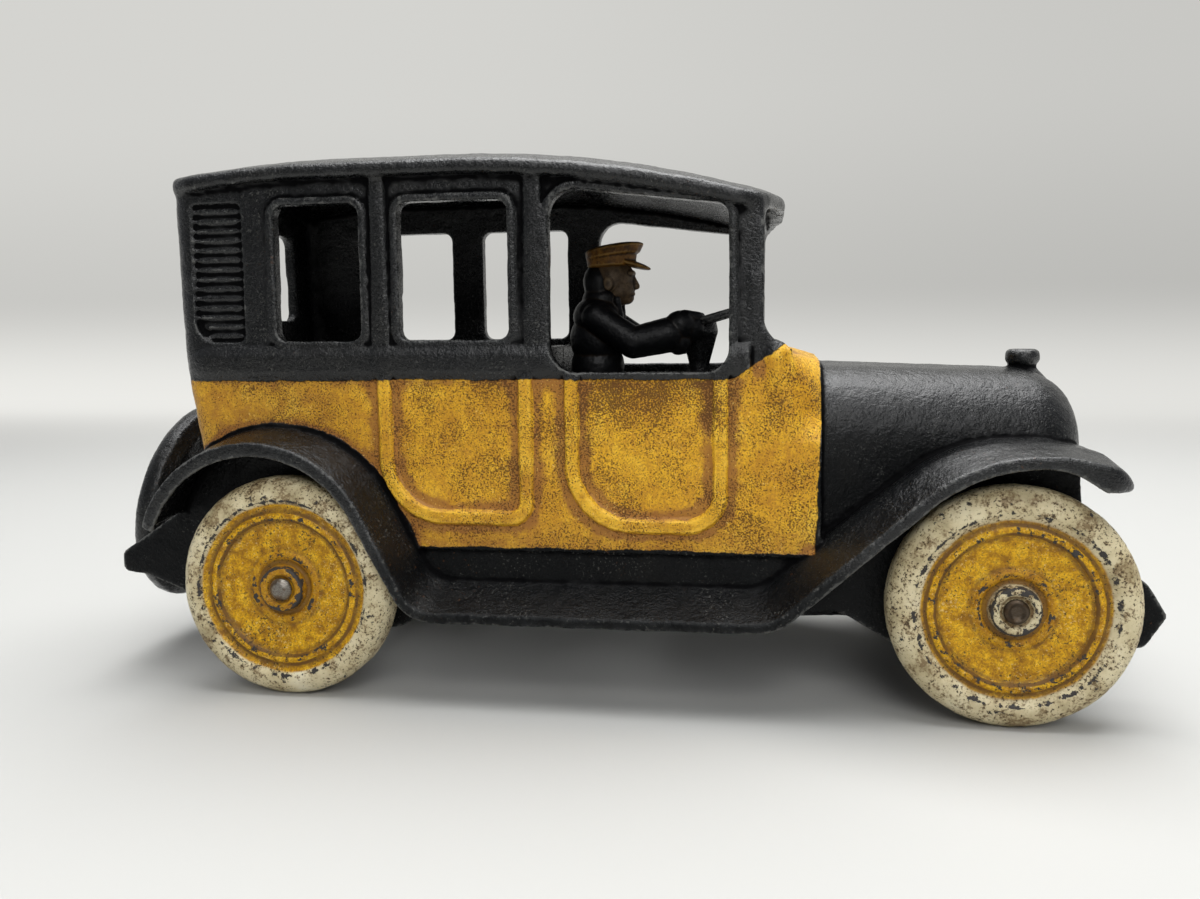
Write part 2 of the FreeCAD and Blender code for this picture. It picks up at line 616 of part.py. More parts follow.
def door_beads():
    """Beads round both doors, and the beads of the pillars above the belt."""
    rear, front = REAR_DOOR
    head = BELT_LOW + BELT_PROUD + 3
    rear_door = [(rear, REAR_DOOR_FOOT, DOOR_HINGE_CORNER), (front, REAR_DOOR_FOOT, 3.5),
                 (front, head, 0), (rear, head, 0)]
    rear, front = FRONT_DOOR
    front_door = [(rear, FRONT_DOOR_FOOT, DOOR_HINGE_CORNER), (front, FRONT_DOOR_FOOT, 7),
                  (front, head, 0), (rear, head, 0)]
    beads = [bead_ring(rear_door, BEAD_PROUD), bead_ring(front_door, BEAD_PROUD)]
    for x, half in POST_BEADS:
        beads.append(box(x - half, x + half, BODY_HALF_WIDTH - WALL, BODY_HALF_WIDTH + 0.4,
                         BELT_HIGH - 2, ROOF_TOP - ROOF_CROWN - ROOF_EDGE + 1))
    return beads


# ================================================================ wings, boards, frame sides
def tangent_reach(radius, slope):
    """Distance from the top of an arch to the meeting point of its top and slope tangents."""
    return radius * math.tan(math.radians(slope) / 2)


def wing_path(rear_x, rear_top, rear_radius, board_z, front_top, front_slope, foot_x, tip_shift):
    """The long side-view line of a wing and board, from tail to tip, as corners."""
    tail_angle = math.radians(REAR_WING_TAIL_SLOPE)
    leg_angle = math.radians(WING_LEG_SLOPE)
    tail_corner = rear_x - tangent_reach(rear_radius, REAR_WING_TAIL_SLOPE)
    tail_run = tangent_reach(rear_radius, REAR_WING_TAIL_SLOPE) + 1.5
    leg_corner = rear_x + tangent_reach(rear_radius, WING_LEG_SLOPE)
    leg_run = (rear_top - board_z) / math.tan(leg_angle)
    rise_run = (front_top - board_z) / math.tan(math.radians(front_slope))
    return [(tail_corner - tail_run * math.cos(tail_angle), rear_top - tail_run * math.sin(tail_angle), 0),
            (tail_corner, rear_top, rear_radius),
            (leg_corner, rear_top, rear_radius),
            (leg_corner + leg_run, board_z, BOARD_REAR_CORNER),
            (foot_x, board_z, BOARD_FRONT_CORNER),
            (foot_x + rise_run, front_top, FRONT_RISE_RADIUS),
            (WHEELBASE + CREST_AHEAD, front_top, CREST_RADIUS),
            (WHEELBASE + TIP_KNEE_AHEAD + tip_shift, front_top - TIP_KNEE_DROP, TIP_KNEE_RADIUS),
            (FRONT_WING_TIP_X + tip_shift, front_top - TIP_DROP, 0)]


def outer_path():
    return wing_path(REAR_WING_X, REAR_WING_TOP, REAR_WING_RADIUS, BOARD_EDGE_Z, FRONT_WING_TOP,
                     FRONT_WING_SLOPE, FRONT_WING_FOOT_X, 0)


def root_path():
    return wing_path(REAR_WING_X + 2.4, REAR_WING_TOP + ROOT_RISE, REAR_WING_RADIUS + 1.9,
                     BOARD_ROOT_Z, FRONT_WING_TOP + FRONT_ROOT_RISE, FRONT_WING_SLOPE - 4,
                     FRONT_WING_FOOT_X - 2.7, -0.6)


def band(path, depths, place):
    """A closed strip wire under a path, as deep at each of its corners as depths says."""
    top = corner_edges(path, place, closed=False)
    lower = [offset_corners(path, -depth, closed=False)[index] for index, depth in enumerate(depths)]
    under = corner_edges(lower[::-1], place, closed=False)
    start = Part.LineSegment(under[-1].valueAt(under[-1].LastParameter),
                             top[0].valueAt(top[0].FirstParameter)).toShape()
    end = Part.LineSegment(top[-1].valueAt(top[-1].LastParameter),
                           under[0].valueAt(under[0].FirstParameter)).toShape()
    return Part.Wire(top + [end] + under + [start])


def even(path):
    return [WING_SHEET] * len(path)


def wings():
    """Rear wing, running board and front wing in one strip with a turned-down lip."""
    outer = outer_path()
    root = root_path()
    sheet = Part.makeLoft([band(outer, even(outer), side(WING_HALF_WIDTH)),
                           band(root, even(root), side(WHEEL_INNER_Y))], True, True)
    depths = [WING_LIP] * 3 + [WING_SHEET] * 2 + [FRONT_LIP] * 2 + [TIP_LIP, TIP_END]
    lip = Part.Face(band(outer, depths, side(WING_HALF_WIDTH - LIP_WIDTH)))
    lip = lip.extrude(Vector(0, LIP_WIDTH, 0))
    tip_lip = Part.Face(band(outer, depths, side(FRAME_OUTER_Y)))
    tip_lip = tip_lip.extrude(Vector(0, WING_HALF_WIDTH - FRAME_OUTER_Y, 0))
    tip_lip = tip_lip.common(box(FRONT_WING_TIP_X - 1.5 * LIP_WIDTH, FAR, 0, FAR, 0, FAR))
    inboard = Part.Face(band(root, even(root), side(FRAME_INNER_Y)))
    inboard = inboard.extrude(Vector(0, WHEEL_INNER_Y - FRAME_INNER_Y, 0))
    strip = sheet.fuse([lip, tip_lip, inboard])
    tail = outer[0][0] - 3
    ends = [(tail, 0, 0), (FRONT_WING_TIP_X, 0, 0), (FRONT_WING_TIP_X, WING_HALF_WIDTH, TIP_CORNER),
            (tail, WING_HALF_WIDTH, TAIL_CORNER)]
    return strip.common(plan_prism(ends, 0, ROOF_TOP))


def nose_shelf():
    """The front wing's top carried in to the bonnet side."""
    inner = HOOD_END_HALF_WIDTH - WALL
    root = root_path()
    shelf = Part.Face(band(root, even(root), side(inner)))
    shelf = shelf.extrude(Vector(0, FRAME_INNER_Y - inner + 0.2, 0))
    return shelf.common(box(HOOD_START + 3, FRONT_WING_TIP_X, 0, FAR, 0, FAR))


def frame_side():
    """The flat side of the frame, with the wheel houses, the tail horn and the dumb iron."""
    path = root_path()[:-2]
    last_x = WHEELBASE + CREST_AHEAD + 5
    upper = [(a, b - WING_SHEET / 2, radius) for a, b, radius in path]
    lower = [(last_x, FRONT_WING_TOP - 1.5, 0), (last_x + 1.5, HORN_Z + 12, 4),
             (HORN_X - 4, HORN_Z + HORN_DEPTH, 2), (HORN_X, HORN_Z, 1.0),
             (HORN_X - 4, HORN_Z - HORN_DEPTH, 2), (WHEELBASE + 12, AXLE_DROP, 5),
             (WHEELBASE - 20, AXLE_DROP, FRAME_CORNER), (WHEELBASE - 31, FRAME_LOW_Z, FRAME_CORNER),
             (33, FRAME_LOW_Z, FRAME_CORNER), (21, AXLE_DROP, FRAME_CORNER),
             (-12, AXLE_DROP, FRAME_CORNER),
             (TAIL_HORN_X + 6, TAIL_HORN_Z - 3.0, 3),
             (TAIL_HORN_X, TAIL_HORN_Z - 2.2, 1.6), (TAIL_HORN_X, TAIL_HORN_Z + 2.2, 1.6),
             (upper[0][0] - 1.5, upper[0][1] - 1.0, 1.0)]
    return side_prism(upper + lower, FRAME_INNER_Y, FRAME_OUTER_Y)


def wheel_house():
    """The space under the rear wing's root line, which the body side leaves open."""
    path = root_path()[:4]
    low = BODY_BOTTOM - 20
    return [(a, b, radius) for a, b, radius in path[:3]] + [
        (path[3][0], path[3][1], 0), (path[3][0], low, 0), (path[0][0], low, 0)]


# ================================================================ fittings inside the halves
def rivet_places():
    """Where each rivet passes through the centre plane: name, x, z."""
    return [("rear_body_rivet", CABIN_REAR + TAIL_TUCK + REAR_RIVET[0], BODY_BOTTOM + REAR_RIVET[1]),
            ("middle_body_rivet", HOOD_START + MIDDLE_RIVET[0], BODY_BOTTOM + MIDDLE_RIVET[1]),
            ("front_body_rivet", NOSE_FRONT + FRONT_RIVET[0], HOOD_END_TOP + FRONT_RIVET[1])]


def rivet_lugs():
    """Ears on the centre plane, joined to the nearest wall."""
    (_, rear_x, rear_z), (_, middle_x, middle_z), (_, front_x, front_z) = rivet_places()
    lug = RIVET_LUG
    return [box(CABIN_REAR + 4, rear_x + lug, 0, RIVET_LUG_THICKNESS, rear_z - lug, rear_z + lug),
            box(middle_x - lug, middle_x + lug, 0, RIVET_LUG_THICKNESS, middle_z - lug,
                HOOD_START_TOP + 0.5),
            box(front_x - lug, front_x + lug, 0, RIVET_LUG_THICKNESS, front_z - lug,
                HOOD_END_TOP - 1.5)]


def seat_and_bars():
    """Cross bars from the side to the centre plane: the driver's bench and the post's bar."""
    reach = BODY_HALF_WIDTH - WALL / 2
    half_bar = POST_BAR_LENGTH / 2
    bench = box(SEAT_REAR, SEAT_FRONT, 0, reach, SEAT_UNDERSIDE, SEAT_Z)
    back = box(SEAT_REAR, SEAT_REAR + WALL, 0, reach, SEAT_Z - 1, SEAT_BACK_TOP)
    bar = box(POST_X - half_bar, POST_X + half_bar, 0, reach, SEAT_UNDERSIDE, SEAT_Z)
    return [bench, back, bar]


def spare_carrier():
    """The boss behind the body that the spare wheel is riveted to, with its web, and the hole."""
    lean = math.radians(SPARE_LEAN)
    face = SPARE_WIDTH / 2
    start = Vector(SPARE_X + face * math.cos(lean), 0, SPARE_Z - face * math.sin(lean))
    axis = Vector(math.cos(lean), 0, -math.sin(lean))
    boss = Part.makeCylinder(SPARE_BOSS_RADIUS, SPARE_BOSS_LENGTH, start, axis)
    web = side_prism([(start.x + 6, SPARE_Z - 9, 0), (CABIN_REAR + TAIL_TUCK + WALL / 2, SPARE_Z - 4, 0),
                      (CABIN_REAR + TAIL_TUCK - 2.0, SPARE_Z + 13, 0), (start.x + 6, SPARE_Z + 2, 0)],
                     0, WALL * 1.2)
    hole = Part.makeCylinder(SPARE_STUD_RADIUS, 40, start - axis * 20, axis)
    return boss.fuse(web), hole


# ================================================================ body half
def body_half():
    """The left casting, y = 0 and up."""
    cabin = cabin_block(0, BODY_BOTTOM).common(crown_block(UNDER_SKIN, 0))
    outside = cabin.fuse([roof(), belt(), cowl_block(), hood_block(0), visor_flare()])
    cabin_room = cabin_block(WALL, BODY_BOTTOM - 1).common(crown_block(WALL, 0))
    hood_room = hood_block(WALL)
    shell = outside.cut(cabin_room).cut(cowl_room()).cut(hood_room)
    pocket, bars = grille()
    shell = shell.cut(pocket).fuse(bars)
    floor_cut = box(CABIN_REAR - 5, NOSE_FRONT + 5, -1, FRAME_INNER_Y - 4, 0, HOOD_BOTTOM + 0.01)
    shell = shell.cut(floor_cut)

    face = BODY_HALF_WIDTH
    rims = [side_prism(offset_corners(corners, -WINDOW_RIM), face - WALL, face + RIM_PROUD)
            for corners in side_windows()]
    pocket, slats = louvre_panel()
    shell = shell.fuse(rims + door_beads()).cut(pocket).fuse(slats)
    for corners in side_windows():
        shell = shell.cut(side_prism(corners, face - 3 * WALL, face + 5))
    back_window = [(-1, BACK_WINDOW_LOW, 0), (BACK_WINDOW_HALF_WIDTH, BACK_WINDOW_LOW, 3),
                   (BACK_WINDOW_HALF_WIDTH, ROOF_TOP - BACK_HEADER, 3), (-1, ROOF_TOP - BACK_HEADER, 0)]
    shell = shell.cut(cross_prism(back_window, CABIN_REAR - 5, CABIN_REAR + 2 * WALL))
    screen = [(-1, SCREEN_LOW, 0), (SCREEN_HALF_WIDTH, SCREEN_LOW, 3),
              (SCREEN_HALF_WIDTH, ROOF_TOP - SCREEN_HEADER, 3), (-1, ROOF_TOP - SCREEN_HEADER, 0)]
    shell = shell.cut(cross_prism(screen, CABIN_FRONT - 3 * WALL, ROOF_FRONT))

    shell = shell.cut(side_prism(wheel_house(), FRAME_OUTER_Y, FAR))
    apron_turn = min(FRONT_WING_FOOT_X + 6, HOOD_START)
    apron = box(root_path()[3][0] - 2, apron_turn, BODY_HALF_WIDTH - WALL - 0.4,
                BODY_HALF_WIDTH - 0.5, BOARD_ROOT_Z - 2.2, BODY_BOTTOM + 1)
    apron_front = box(apron_turn - 4, max(HOOD_START, FRONT_WING_FOOT_X) + 2,
                      HOOD_START_HALF_WIDTH - WALL - 1, BODY_HALF_WIDTH - 0.5, BOARD_ROOT_Z,
                      BODY_BOTTOM + 1)
    outside_only = [piece.cut(hood_room) for piece in (wings(), nose_shelf())]
    shell = shell.fuse(outside_only + [frame_side(), apron, apron_front] + seat_and_bars()
                       + rivet_lugs())
    for x in (0, WHEELBASE):
        well = across_cylinder(x, WHEEL_RADIUS, WHEEL_RADIUS + WELL_GAP, FRAME_OUTER_Y + 1.0,
                               WING_HALF_WIDTH - LIP_WIDTH)
        boss = across_cylinder(x, WHEEL_RADIUS, BOSS_RADIUS, FRAME_INNER_Y - 3,
                               WHEEL_INNER_Y - SIDE_PLAY)
        shell = shell.cut(well).fuse(boss)
        shell = shell.cut(across_cylinder(x, WHEEL_RADIUS, AXLE_RADIUS + RUNNING_GAP, 0, FAR))
    carrier, stud_hole = spare_carrier()
    shell = shell.cut(spare_room()).fuse([carrier, radiator_cap()]).cut(stud_hole)
    for _, x, z in rivet_places():
        shell = shell.cut(across_cylinder(x, z, RIVET_RADIUS, -1, RIVET_LUG_THICKNESS + 1))
    shell = shell.cut(driver_socket()).cut(post_socket())
    return shell.common(box(-FAR, FAR, 0, FAR, -FAR, FAR))


# ================================================================ wheels and axles
def wheel():
    """A rear left wheel about the rear axle; y is the distance from the centre plane."""
    inner = WHEEL_INNER_Y
    face = inner + TYRE_WIDTH
    disc = face - DISC_SET_BACK
    web = face - WEB_THICKNESS - DISC_SET_BACK
    bore = AXLE_RADIUS + RUNNING_GAP
    cup = HEAD_RADIUS + HEAD_GAP
    seat = face + HUB_PROUD - HEAD_HEIGHT
    profile = [(bore, inner, 0), (HUB_RADIUS + HUB_FLARE - 1, inner, 0), (HUB_RADIUS + HUB_FLARE, web, 0),
               (DISC_RADIUS - 2.6, web, 0), (DISC_RADIUS - 0.6, inner, 0),
               (WHEEL_RADIUS - TREAD_CHAMFER, inner, 0), (WHEEL_RADIUS, inner + TREAD_CHAMFER, 0),
               (WHEEL_RADIUS, face, TYRE_SHOULDER), (DISC_RADIUS + 1.9, face, 0),
               (DISC_RADIUS + 0.4, disc + 0.2, 0), (DISC_RADIUS - 0.6, disc, 0),
               (DISC_RADIUS - 1.0, disc + RING_PROUD, 0), (DISC_RADIUS - 2.2, disc + RING_PROUD, 0),
               (DISC_RADIUS - 2.7, disc - 0.2, 0), (HUB_RADIUS + 3.0, disc - DISC_DISH, 0),
               (HUB_RADIUS + 2.2, disc - DISC_DISH + RING_PROUD, 0),
               (HUB_RADIUS + 1.4, disc - DISC_DISH + RING_PROUD, 0),
               (HUB_RADIUS + 0.8, disc - DISC_DISH, 0), (HUB_RADIUS, disc - DISC_DISH, 0),
               (HUB_RADIUS - 0.4, face + HUB_PROUD, 0), (cup + 0.4, face + HUB_PROUD, 0),
               (cup, seat, 0), (bore, seat, 0)]
    return turned(profile, 0, WHEEL_RADIUS)


def axle(dome, dimple):
    """An axle rod with a peened head at each end; the heads turn in the hub cups."""
    seat = WHEEL_INNER_Y + TYRE_WIDTH + HUB_PROUD - HEAD_HEIGHT + SIDE_PLAY / 2
    top = seat + HEAD_HEIGHT + dome
    half = [(HEAD_RADIUS * 0.92, seat + HEAD_HEIGHT * 0.6, 0), (HEAD_RADIUS, seat, 0),
            (AXLE_RADIUS, seat, 0)]
    if dimple:
        middle = top - dimple
        half = [(AXLE_RADIUS * 0.6, middle, 0), (AXLE_RADIUS, top, 0)] + half
    else:
        middle = top
        half = [(AXLE_RADIUS * 0.76, top, 0)] + half
    profile = [(0, middle, 0)] + half
    profile += [(radius, -y, 0) for radius, y, _ in reversed(half)] + [(0, -middle, 0)]
    return turned(profile, 0, WHEEL_RADIUS)


def spare_wheel():
    """The spare, a plainer casting of the same pattern, leaning with the tail."""
    half = SPARE_WIDTH / 2
    hole = SPARE_STUD_RADIUS
    disc = SPARE_RADIUS - SPARE_TYRE_HEIGHT
    profile = [(hole, half, 0), (SPARE_RADIUS - 2.4, half, 0), (SPARE_RADIUS, half - 2.4, 0),
               (SPARE_RADIUS, -half, SPARE_SHOULDER), (disc + 1.4, -half, 0), (disc, -half + 1.7, 0),
               (disc - 0.5, -half + 1.0, 0), (disc - 1.6, -half + 1.0, 0), (disc - 2.1, -half + 1.8, 0),
               (HUB_RADIUS + 2, -half + 2.4, 0), (HUB_RADIUS, -half + 0.2, 0), (hole, -half, 0)]
    face = Part.Face(outline(profile, lambda p: Vector(p.y, 0, p.x)))
    solid = face.revolve(Vector(0, 0, 0), Vector(1, 0, 0), 360)
    return lean_spare(solid)


def spare_room():
    """The space that the spare takes, with its clearance from the wings and the tail."""
    return lean_spare(Part.makeCylinder(SPARE_RADIUS + SPARE_GAP, SPARE_WIDTH,
                                        Vector(-SPARE_WIDTH / 2, 0, 0), Vector(1, 0, 0)))


def lean_spare(solid):
    solid = solid.copy()
    solid.rotate(Vector(0, 0, 0), Vector(0, 1, 0), SPARE_LEAN)
    solid.translate(Vector(SPARE_X, 0, SPARE_Z))
    return solid


def spare_stud():
    """Rivet through the spare and the carrier boss."""
    half = SPARE_WIDTH / 2
    rod = Part.makeCylinder(SPARE_STUD_RADIUS + PRESS, SPARE_WIDTH + SPARE_BOSS_LENGTH,
                            Vector(-half, 0, 0), Vector(1, 0, 0))
    head = Part.makeCone(HEAD_RADIUS * 0.6, HEAD_RADIUS + 0.6, 1.4, Vector(-half - 1.4, 0, 0),
                         Vector(1, 0, 0))
    return lean_spare(rod.fuse(head).removeSplitter())


def body_rivet(x, z):
    """Rivet through the two lugs, peened on both sides."""
    grip = RIVET_LUG_THICKNESS
    top = grip + RIVET_HEAD_HEIGHT
    shank = RIVET_RADIUS + PRESS
    profile = [(0, -top, 0), (RIVET_HEAD_RADIUS * 0.6, -top, 0), (RIVET_HEAD_RADIUS, -grip, 0),
               (shank, -grip, 0), (shank, grip, 0), (RIVET_HEAD_RADIUS, grip, 0),
               (RIVET_HEAD_RADIUS * 0.6, top, 0), (0, top, 0)]
    return turned(profile, x, z)


# ================================================================ driver and steering post
def driver_socket():
    """Hole in the bench for the driver's peg."""
    return Part.makeCylinder(PEG_RADIUS + PEG_GAP, 20, Vector(PEG_X, 0, SEAT_Z - 15))


def post_socket():
    return Part.makeCylinder(POST_RADIUS, 20, Vector(POST_X, 0, SEAT_Z - 15))


def taper(start, end, radius_start, radius_end):
    direction = end - start
    return Part.makeCone(radius_start, radius_end, direction.Length, start, direction)


def figure_place(place, y):
    """A point of the figure, measured from the middle of the peg at the bench's top."""
    ahead, above = place
    return Vector(PEG_X + ahead, y, SEAT_Z + above)


def arm(sign):
    """Upper arm, forearm and gloved hand on one side."""
    shoulder = figure_place(SHOULDER, sign * (SHOULDER_HALF_WIDTH - 1.6))
    elbow = figure_place(ELBOW, sign * (SHOULDER_HALF_WIDTH - 0.8))
    wrist = figure_place(WRIST, sign * WRIST_Y)
    hand = figure_place(HAND, sign * HAND_Y)
    return [taper(shoulder, elbow, ARM_RADIUS, ELBOW_RADIUS),
            taper(elbow, wrist, ELBOW_RADIUS, WRIST_RADIUS),
            Part.makeSphere(ELBOW_RADIUS, elbow), Part.makeSphere(WRIST_RADIUS, wrist),
            Part.makeSphere(HAND_RADIUS, hand)]


def coat_ring(above, ahead, half_depth, half_width):
    """An elliptical section of the coat."""
    middle = figure_place((ahead, above), 0)
    ellipse = Part.Ellipse(middle + Vector(0, half_width, 0), middle + Vector(half_depth, 0, 0), middle)
    return Part.Wire(ellipse.toShape())


def torso():
    """The coat, built up from the hips to the collar."""
    levels = [(0, -0.4, 5.8, HIP_HALF_WIDTH), (9.0, -0.2, 6.2, HIP_HALF_WIDTH + 0.6),
              (13.0, -0.1, 6.0, SHOULDER_HALF_WIDTH - 0.5), (16.0, 0.2, 5.4, SHOULDER_HALF_WIDTH),
              (18.4, 0.9, 4.7, SHOULDER_HALF_WIDTH - 1.6), (21.6, 1.6, 3.6, 4.2)]
    return Part.makeLoft([coat_ring(*level) for level in levels], True, True)


def cap():
    """A peaked cap that flares from its band."""
    band_low = figure_place(HEAD_CENTRE, 0) + Vector(-0.4, 0, DRIVER_HEAD_RADIUS * 0.64)
    up = Vector(0, 0, CAP_BAND_HEIGHT)
    spread = CAP_BAND_RADIUS + 0.3
    brim = Part.makeCylinder(CAP_BAND_RADIUS + 0.1, CAP_BRIM_THICKNESS, band_low + Vector(3.0, 0, -0.2))
    return [Part.makeCone(CAP_BAND_RADIUS, spread, CAP_BAND_HEIGHT, band_low),
            Part.makeCone(spread, spread + CAP_FLARE, CAP_BAND_HEIGHT, band_low + up),
            Part.makeCone(spread + CAP_FLARE, CAP_BAND_RADIUS - 0.3, 1.0, band_low + up * 2), brim]


def driver_figure():
    """The driver in coat and peaked cap, hands held out to the rim, with a peg under the coat."""
    head_centre = figure_place(HEAD_CENTRE, 0)
    head = Part.makeSphere(DRIVER_HEAD_RADIUS, head_centre)
    neck = Part.makeCylinder(NECK_RADIUS, 7, head_centre - Vector(1.4, 0, 7))
    shank = Part.makeCylinder(PEG_RADIUS, SEAT_THICKNESS + 1, Vector(PEG_X, 0, SEAT_UNDERSIDE))
    peened = Part.makeCylinder(PEG_RADIUS + PEG_HEAD, RIVET_HEAD_HEIGHT,
                               Vector(PEG_X, 0, SEAT_UNDERSIDE - RIVET_HEAD_HEIGHT))
    pieces = [neck, head, shank, peened] + cap() + arm(-1) + arm(1)
    return torso().fuse(pieces).removeSplitter()


def steering_post():
    """The steering wheel on its vase-shaped post, which is set in the bar."""
    knee = SEAT_Z + POST_KNEE
    throat = POST_TOP_Z - 3.0
    stem = [(0, SEAT_UNDERSIDE, 0), (POST_RADIUS + PRESS, SEAT_UNDERSIDE, 0),
            (POST_RADIUS + PRESS, SEAT_Z, 0), (POST_RADIUS, SEAT_Z, 0), (POST_RADIUS, knee, 0),
            (POST_HEAD_RADIUS, throat, 0), (POST_HEAD_RADIUS - 0.6, POST_TOP_Z, 0), (0, POST_TOP_Z, 0)]
    post = upright_turned(stem, POST_X)
    rim_low = STEERING_RADIUS - STEERING_RIM
    rim_high = STEERING_RADIUS + STEERING_RIM
    web = STEERING_RIM * 0.5
    edge = STEERING_RIM * 0.5
    section = [(0, -web, 0), (rim_low, -web, 0), (rim_low + edge, -STEERING_RIM, 0),
               (rim_high - edge, -STEERING_RIM, 0), (rim_high, -edge, 0), (rim_high, edge, 0),
               (rim_high - edge, STEERING_RIM, 0), (rim_low + edge, STEERING_RIM, 0),
               (rim_low, web, 0), (0, web, 0)]
    steering = upright_turned(section, 0)
    for index in range(SPOKE_COUNT):
        angle = math.radians(360 / SPOKE_COUNT * (index + 0.5))
        reach = rim_low * SPOKE_HOLE_REACH
        place = Vector(reach * math.cos(angle), reach * math.sin(angle), -5)
        steering = steering.cut(Part.makeCylinder(rim_low * SPOKE_HOLE_SIZE, 10, place))
    steering.rotate(Vector(0, 0, 0), Vector(0, 1, 0), -STEERING_TILT)
    steering.translate(Vector(STEERING_X, 0, POST_TOP_Z))
    return post.fuse(steering)


# ================================================================ the whole car
def mirrored(shape):
    return shape.mirror(Vector(0, 0, 0), Vector(0, 1, 0))


def build():
    left_half = body_half()
    one_wheel = wheel()
    front_wheel = one_wheel.translated(Vector(WHEELBASE, 0, 0))
    pieces = {"left_body_half": left_half,
              "right_body_half": mirrored(left_half),
              "rear_axle": axle(REAR_HEAD_DOME, 0),
              "front_axle": axle(0, FRONT_HEAD_DIMPLE).translated(Vector(WHEELBASE, 0, 0)),
              "rear_left_wheel": one_wheel,
              "rear_right_wheel": mirrored(one_wheel),
              "front_left_wheel": front_wheel,
              "front_right_wheel": mirrored(front_wheel),
              "driver_figure": driver_figure(),
              "steering_post": steering_post(),
              "spare_wheel": spare_wheel(),
              "spare_stud": spare_stud()}
    for name, x, z in rivet_places():
        pieces[name] = body_rivet(x, z)
    return pieces


def main():
    pieces = build()
    whole = FreeCAD.BoundBox()
    for shape in pieces.values():
        whole.add(shape.optimalBoundingBox(False, False))
    to_origin = Vector(-whole.Center.x, 0, 0)
    os.makedirs("parts", exist_ok=True)
    for name, shape in pieces.items():
        shape.translated(to_origin).exportStep("parts/" + name + ".step")
        print(name, "valid", shape.isValid(), "solids", len(shape.Solids), "volume", round(shape.Volume, 1))
    print("rear axle x", round(to_origin.x, 3), "front axle x", round(to_origin.x + WHEELBASE, 3))
    print("size", [round(value, 2) for value in (whole.XLength, whole.YLength, whole.ZMax)])


main()
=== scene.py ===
import math

import bmesh
import bpy
import numpy as np
from mathutils import Matrix, Vector


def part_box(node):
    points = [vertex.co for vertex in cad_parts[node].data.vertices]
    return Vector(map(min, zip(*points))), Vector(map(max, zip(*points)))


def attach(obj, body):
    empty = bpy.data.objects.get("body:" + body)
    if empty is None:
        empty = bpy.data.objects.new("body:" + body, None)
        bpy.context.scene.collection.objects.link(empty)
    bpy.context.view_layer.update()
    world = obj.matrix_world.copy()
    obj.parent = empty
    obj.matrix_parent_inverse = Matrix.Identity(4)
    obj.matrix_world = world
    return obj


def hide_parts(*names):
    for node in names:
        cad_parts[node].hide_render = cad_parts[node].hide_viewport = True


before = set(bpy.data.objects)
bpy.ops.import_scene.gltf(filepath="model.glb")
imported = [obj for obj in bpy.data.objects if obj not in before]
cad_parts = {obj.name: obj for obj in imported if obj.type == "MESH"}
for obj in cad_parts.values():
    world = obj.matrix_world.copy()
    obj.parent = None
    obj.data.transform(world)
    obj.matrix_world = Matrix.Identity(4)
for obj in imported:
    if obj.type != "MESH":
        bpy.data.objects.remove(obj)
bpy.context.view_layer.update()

# Looks for the cast-iron toy taxi.  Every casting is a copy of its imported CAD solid, rounded and
# roughened as sand-cast iron is, then painted by node materials.  The cast driver is modelled here.
# Lengths are millimetres unless a comment says metres: x from the rear axle, y from the centre
# plane and z from the floor.  Lamps, floor and backdrop are in metres.

MM = 0.001
REAR_LOW, REAR_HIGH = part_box("rear_axle")
FRONT_LOW, FRONT_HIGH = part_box("front_axle")
REAR_X = (REAR_LOW.x + REAR_HIGH.x) / 2 / MM
WHEELBASE = (FRONT_LOW.x + FRONT_HIGH.x) / 2 / MM - REAR_X
AXLE_Z = (REAR_LOW.z + REAR_HIGH.z) / 2 / MM

# Edges of the yellow paint
BELT_Z = 66.4
SILL_Z = 31.8
PILLAR_X = 93.5               # the belt's edge climbs ahead of this place
PILLAR_RISE = 0.72            # by this much for each mm forward
SCUTTLE_X = 110.4
SCUTTLE_LEAN_Z = 62           # below this height the scuttle's edge runs back
SCUTTLE_LEAN = 0.035
ARCH_CENTRE = (-2.8, 28.7)    # the rear wing, an arc that runs on into a straight leg
ARCH_RADIUS = 28.9
LEG_ANGLE = math.radians(63)
REAR_WING_END_X = 60          # ahead of this the rear wing bounds nothing
FRONT_WING_FOOT = (98.5, 24.8)
FRONT_WING_ANGLE = math.radians(38)
FRONT_WING_OVERRUN = 1.1      # the yellow runs on past the front wing's line by this much
SIDE_HALF_WIDTH = 33.4        # whatever is further out than this counts as an outer face
PAINT_HALF_WIDTH = 35.4       # and the wings beyond this are black
CAB_CENTRE = (40, 0, 50)      # faces that look away from this place are outer ones
CAB_HALF_WIDTH = 30.8         # the room inside the cab, which stays black
CAB_REAR_X = -20
CAB_FRONT_X = 96
UNPAINTED = -3                # depth given to that room
FAR_INSIDE = 99               # a depth past any other

# The band along the roof's edge that is rolled
ROOF_LEVEL_X = (9, 35)        # the edge is level between these two places
ROOF_EDGE_BOW_RADIUS = 240    # and falls away on this curve beyond them
ROLL_LOW_Z = 107.4            # just under the edge where it is level
ROOF_HALF_WIDTH = 35.6
ROOF_REAR_X = -27.1
VISOR_X = 103.5
VISOR_BOW = 4.2
DEEP_HALF_WIDTH = 31          # the band is deeper inside this half width
DEEP_X = 96                   # and ahead of this place
DEEPER = 1.5
ROLL_REACH = 5.0              # rolling ends this far in from the edge
ROLL_FADE = 3                 # and fades out over the last of it

# The front wing's tip
TIP_START_X = 160.5
TIP_LOW_Z = 38
TIP_INNER_Y = 28
TIP_SHARE = 0.8
TIP_BEAD_RADIUS = 1.25
TIP_BEAD = ((161.6, 41.7, 47.2), (163.2, 41.0, 46.9), (165.0, 39.4, 46.8), (165.6, 36.4, 46.7),
            (165.6, 32.0, 46.7))

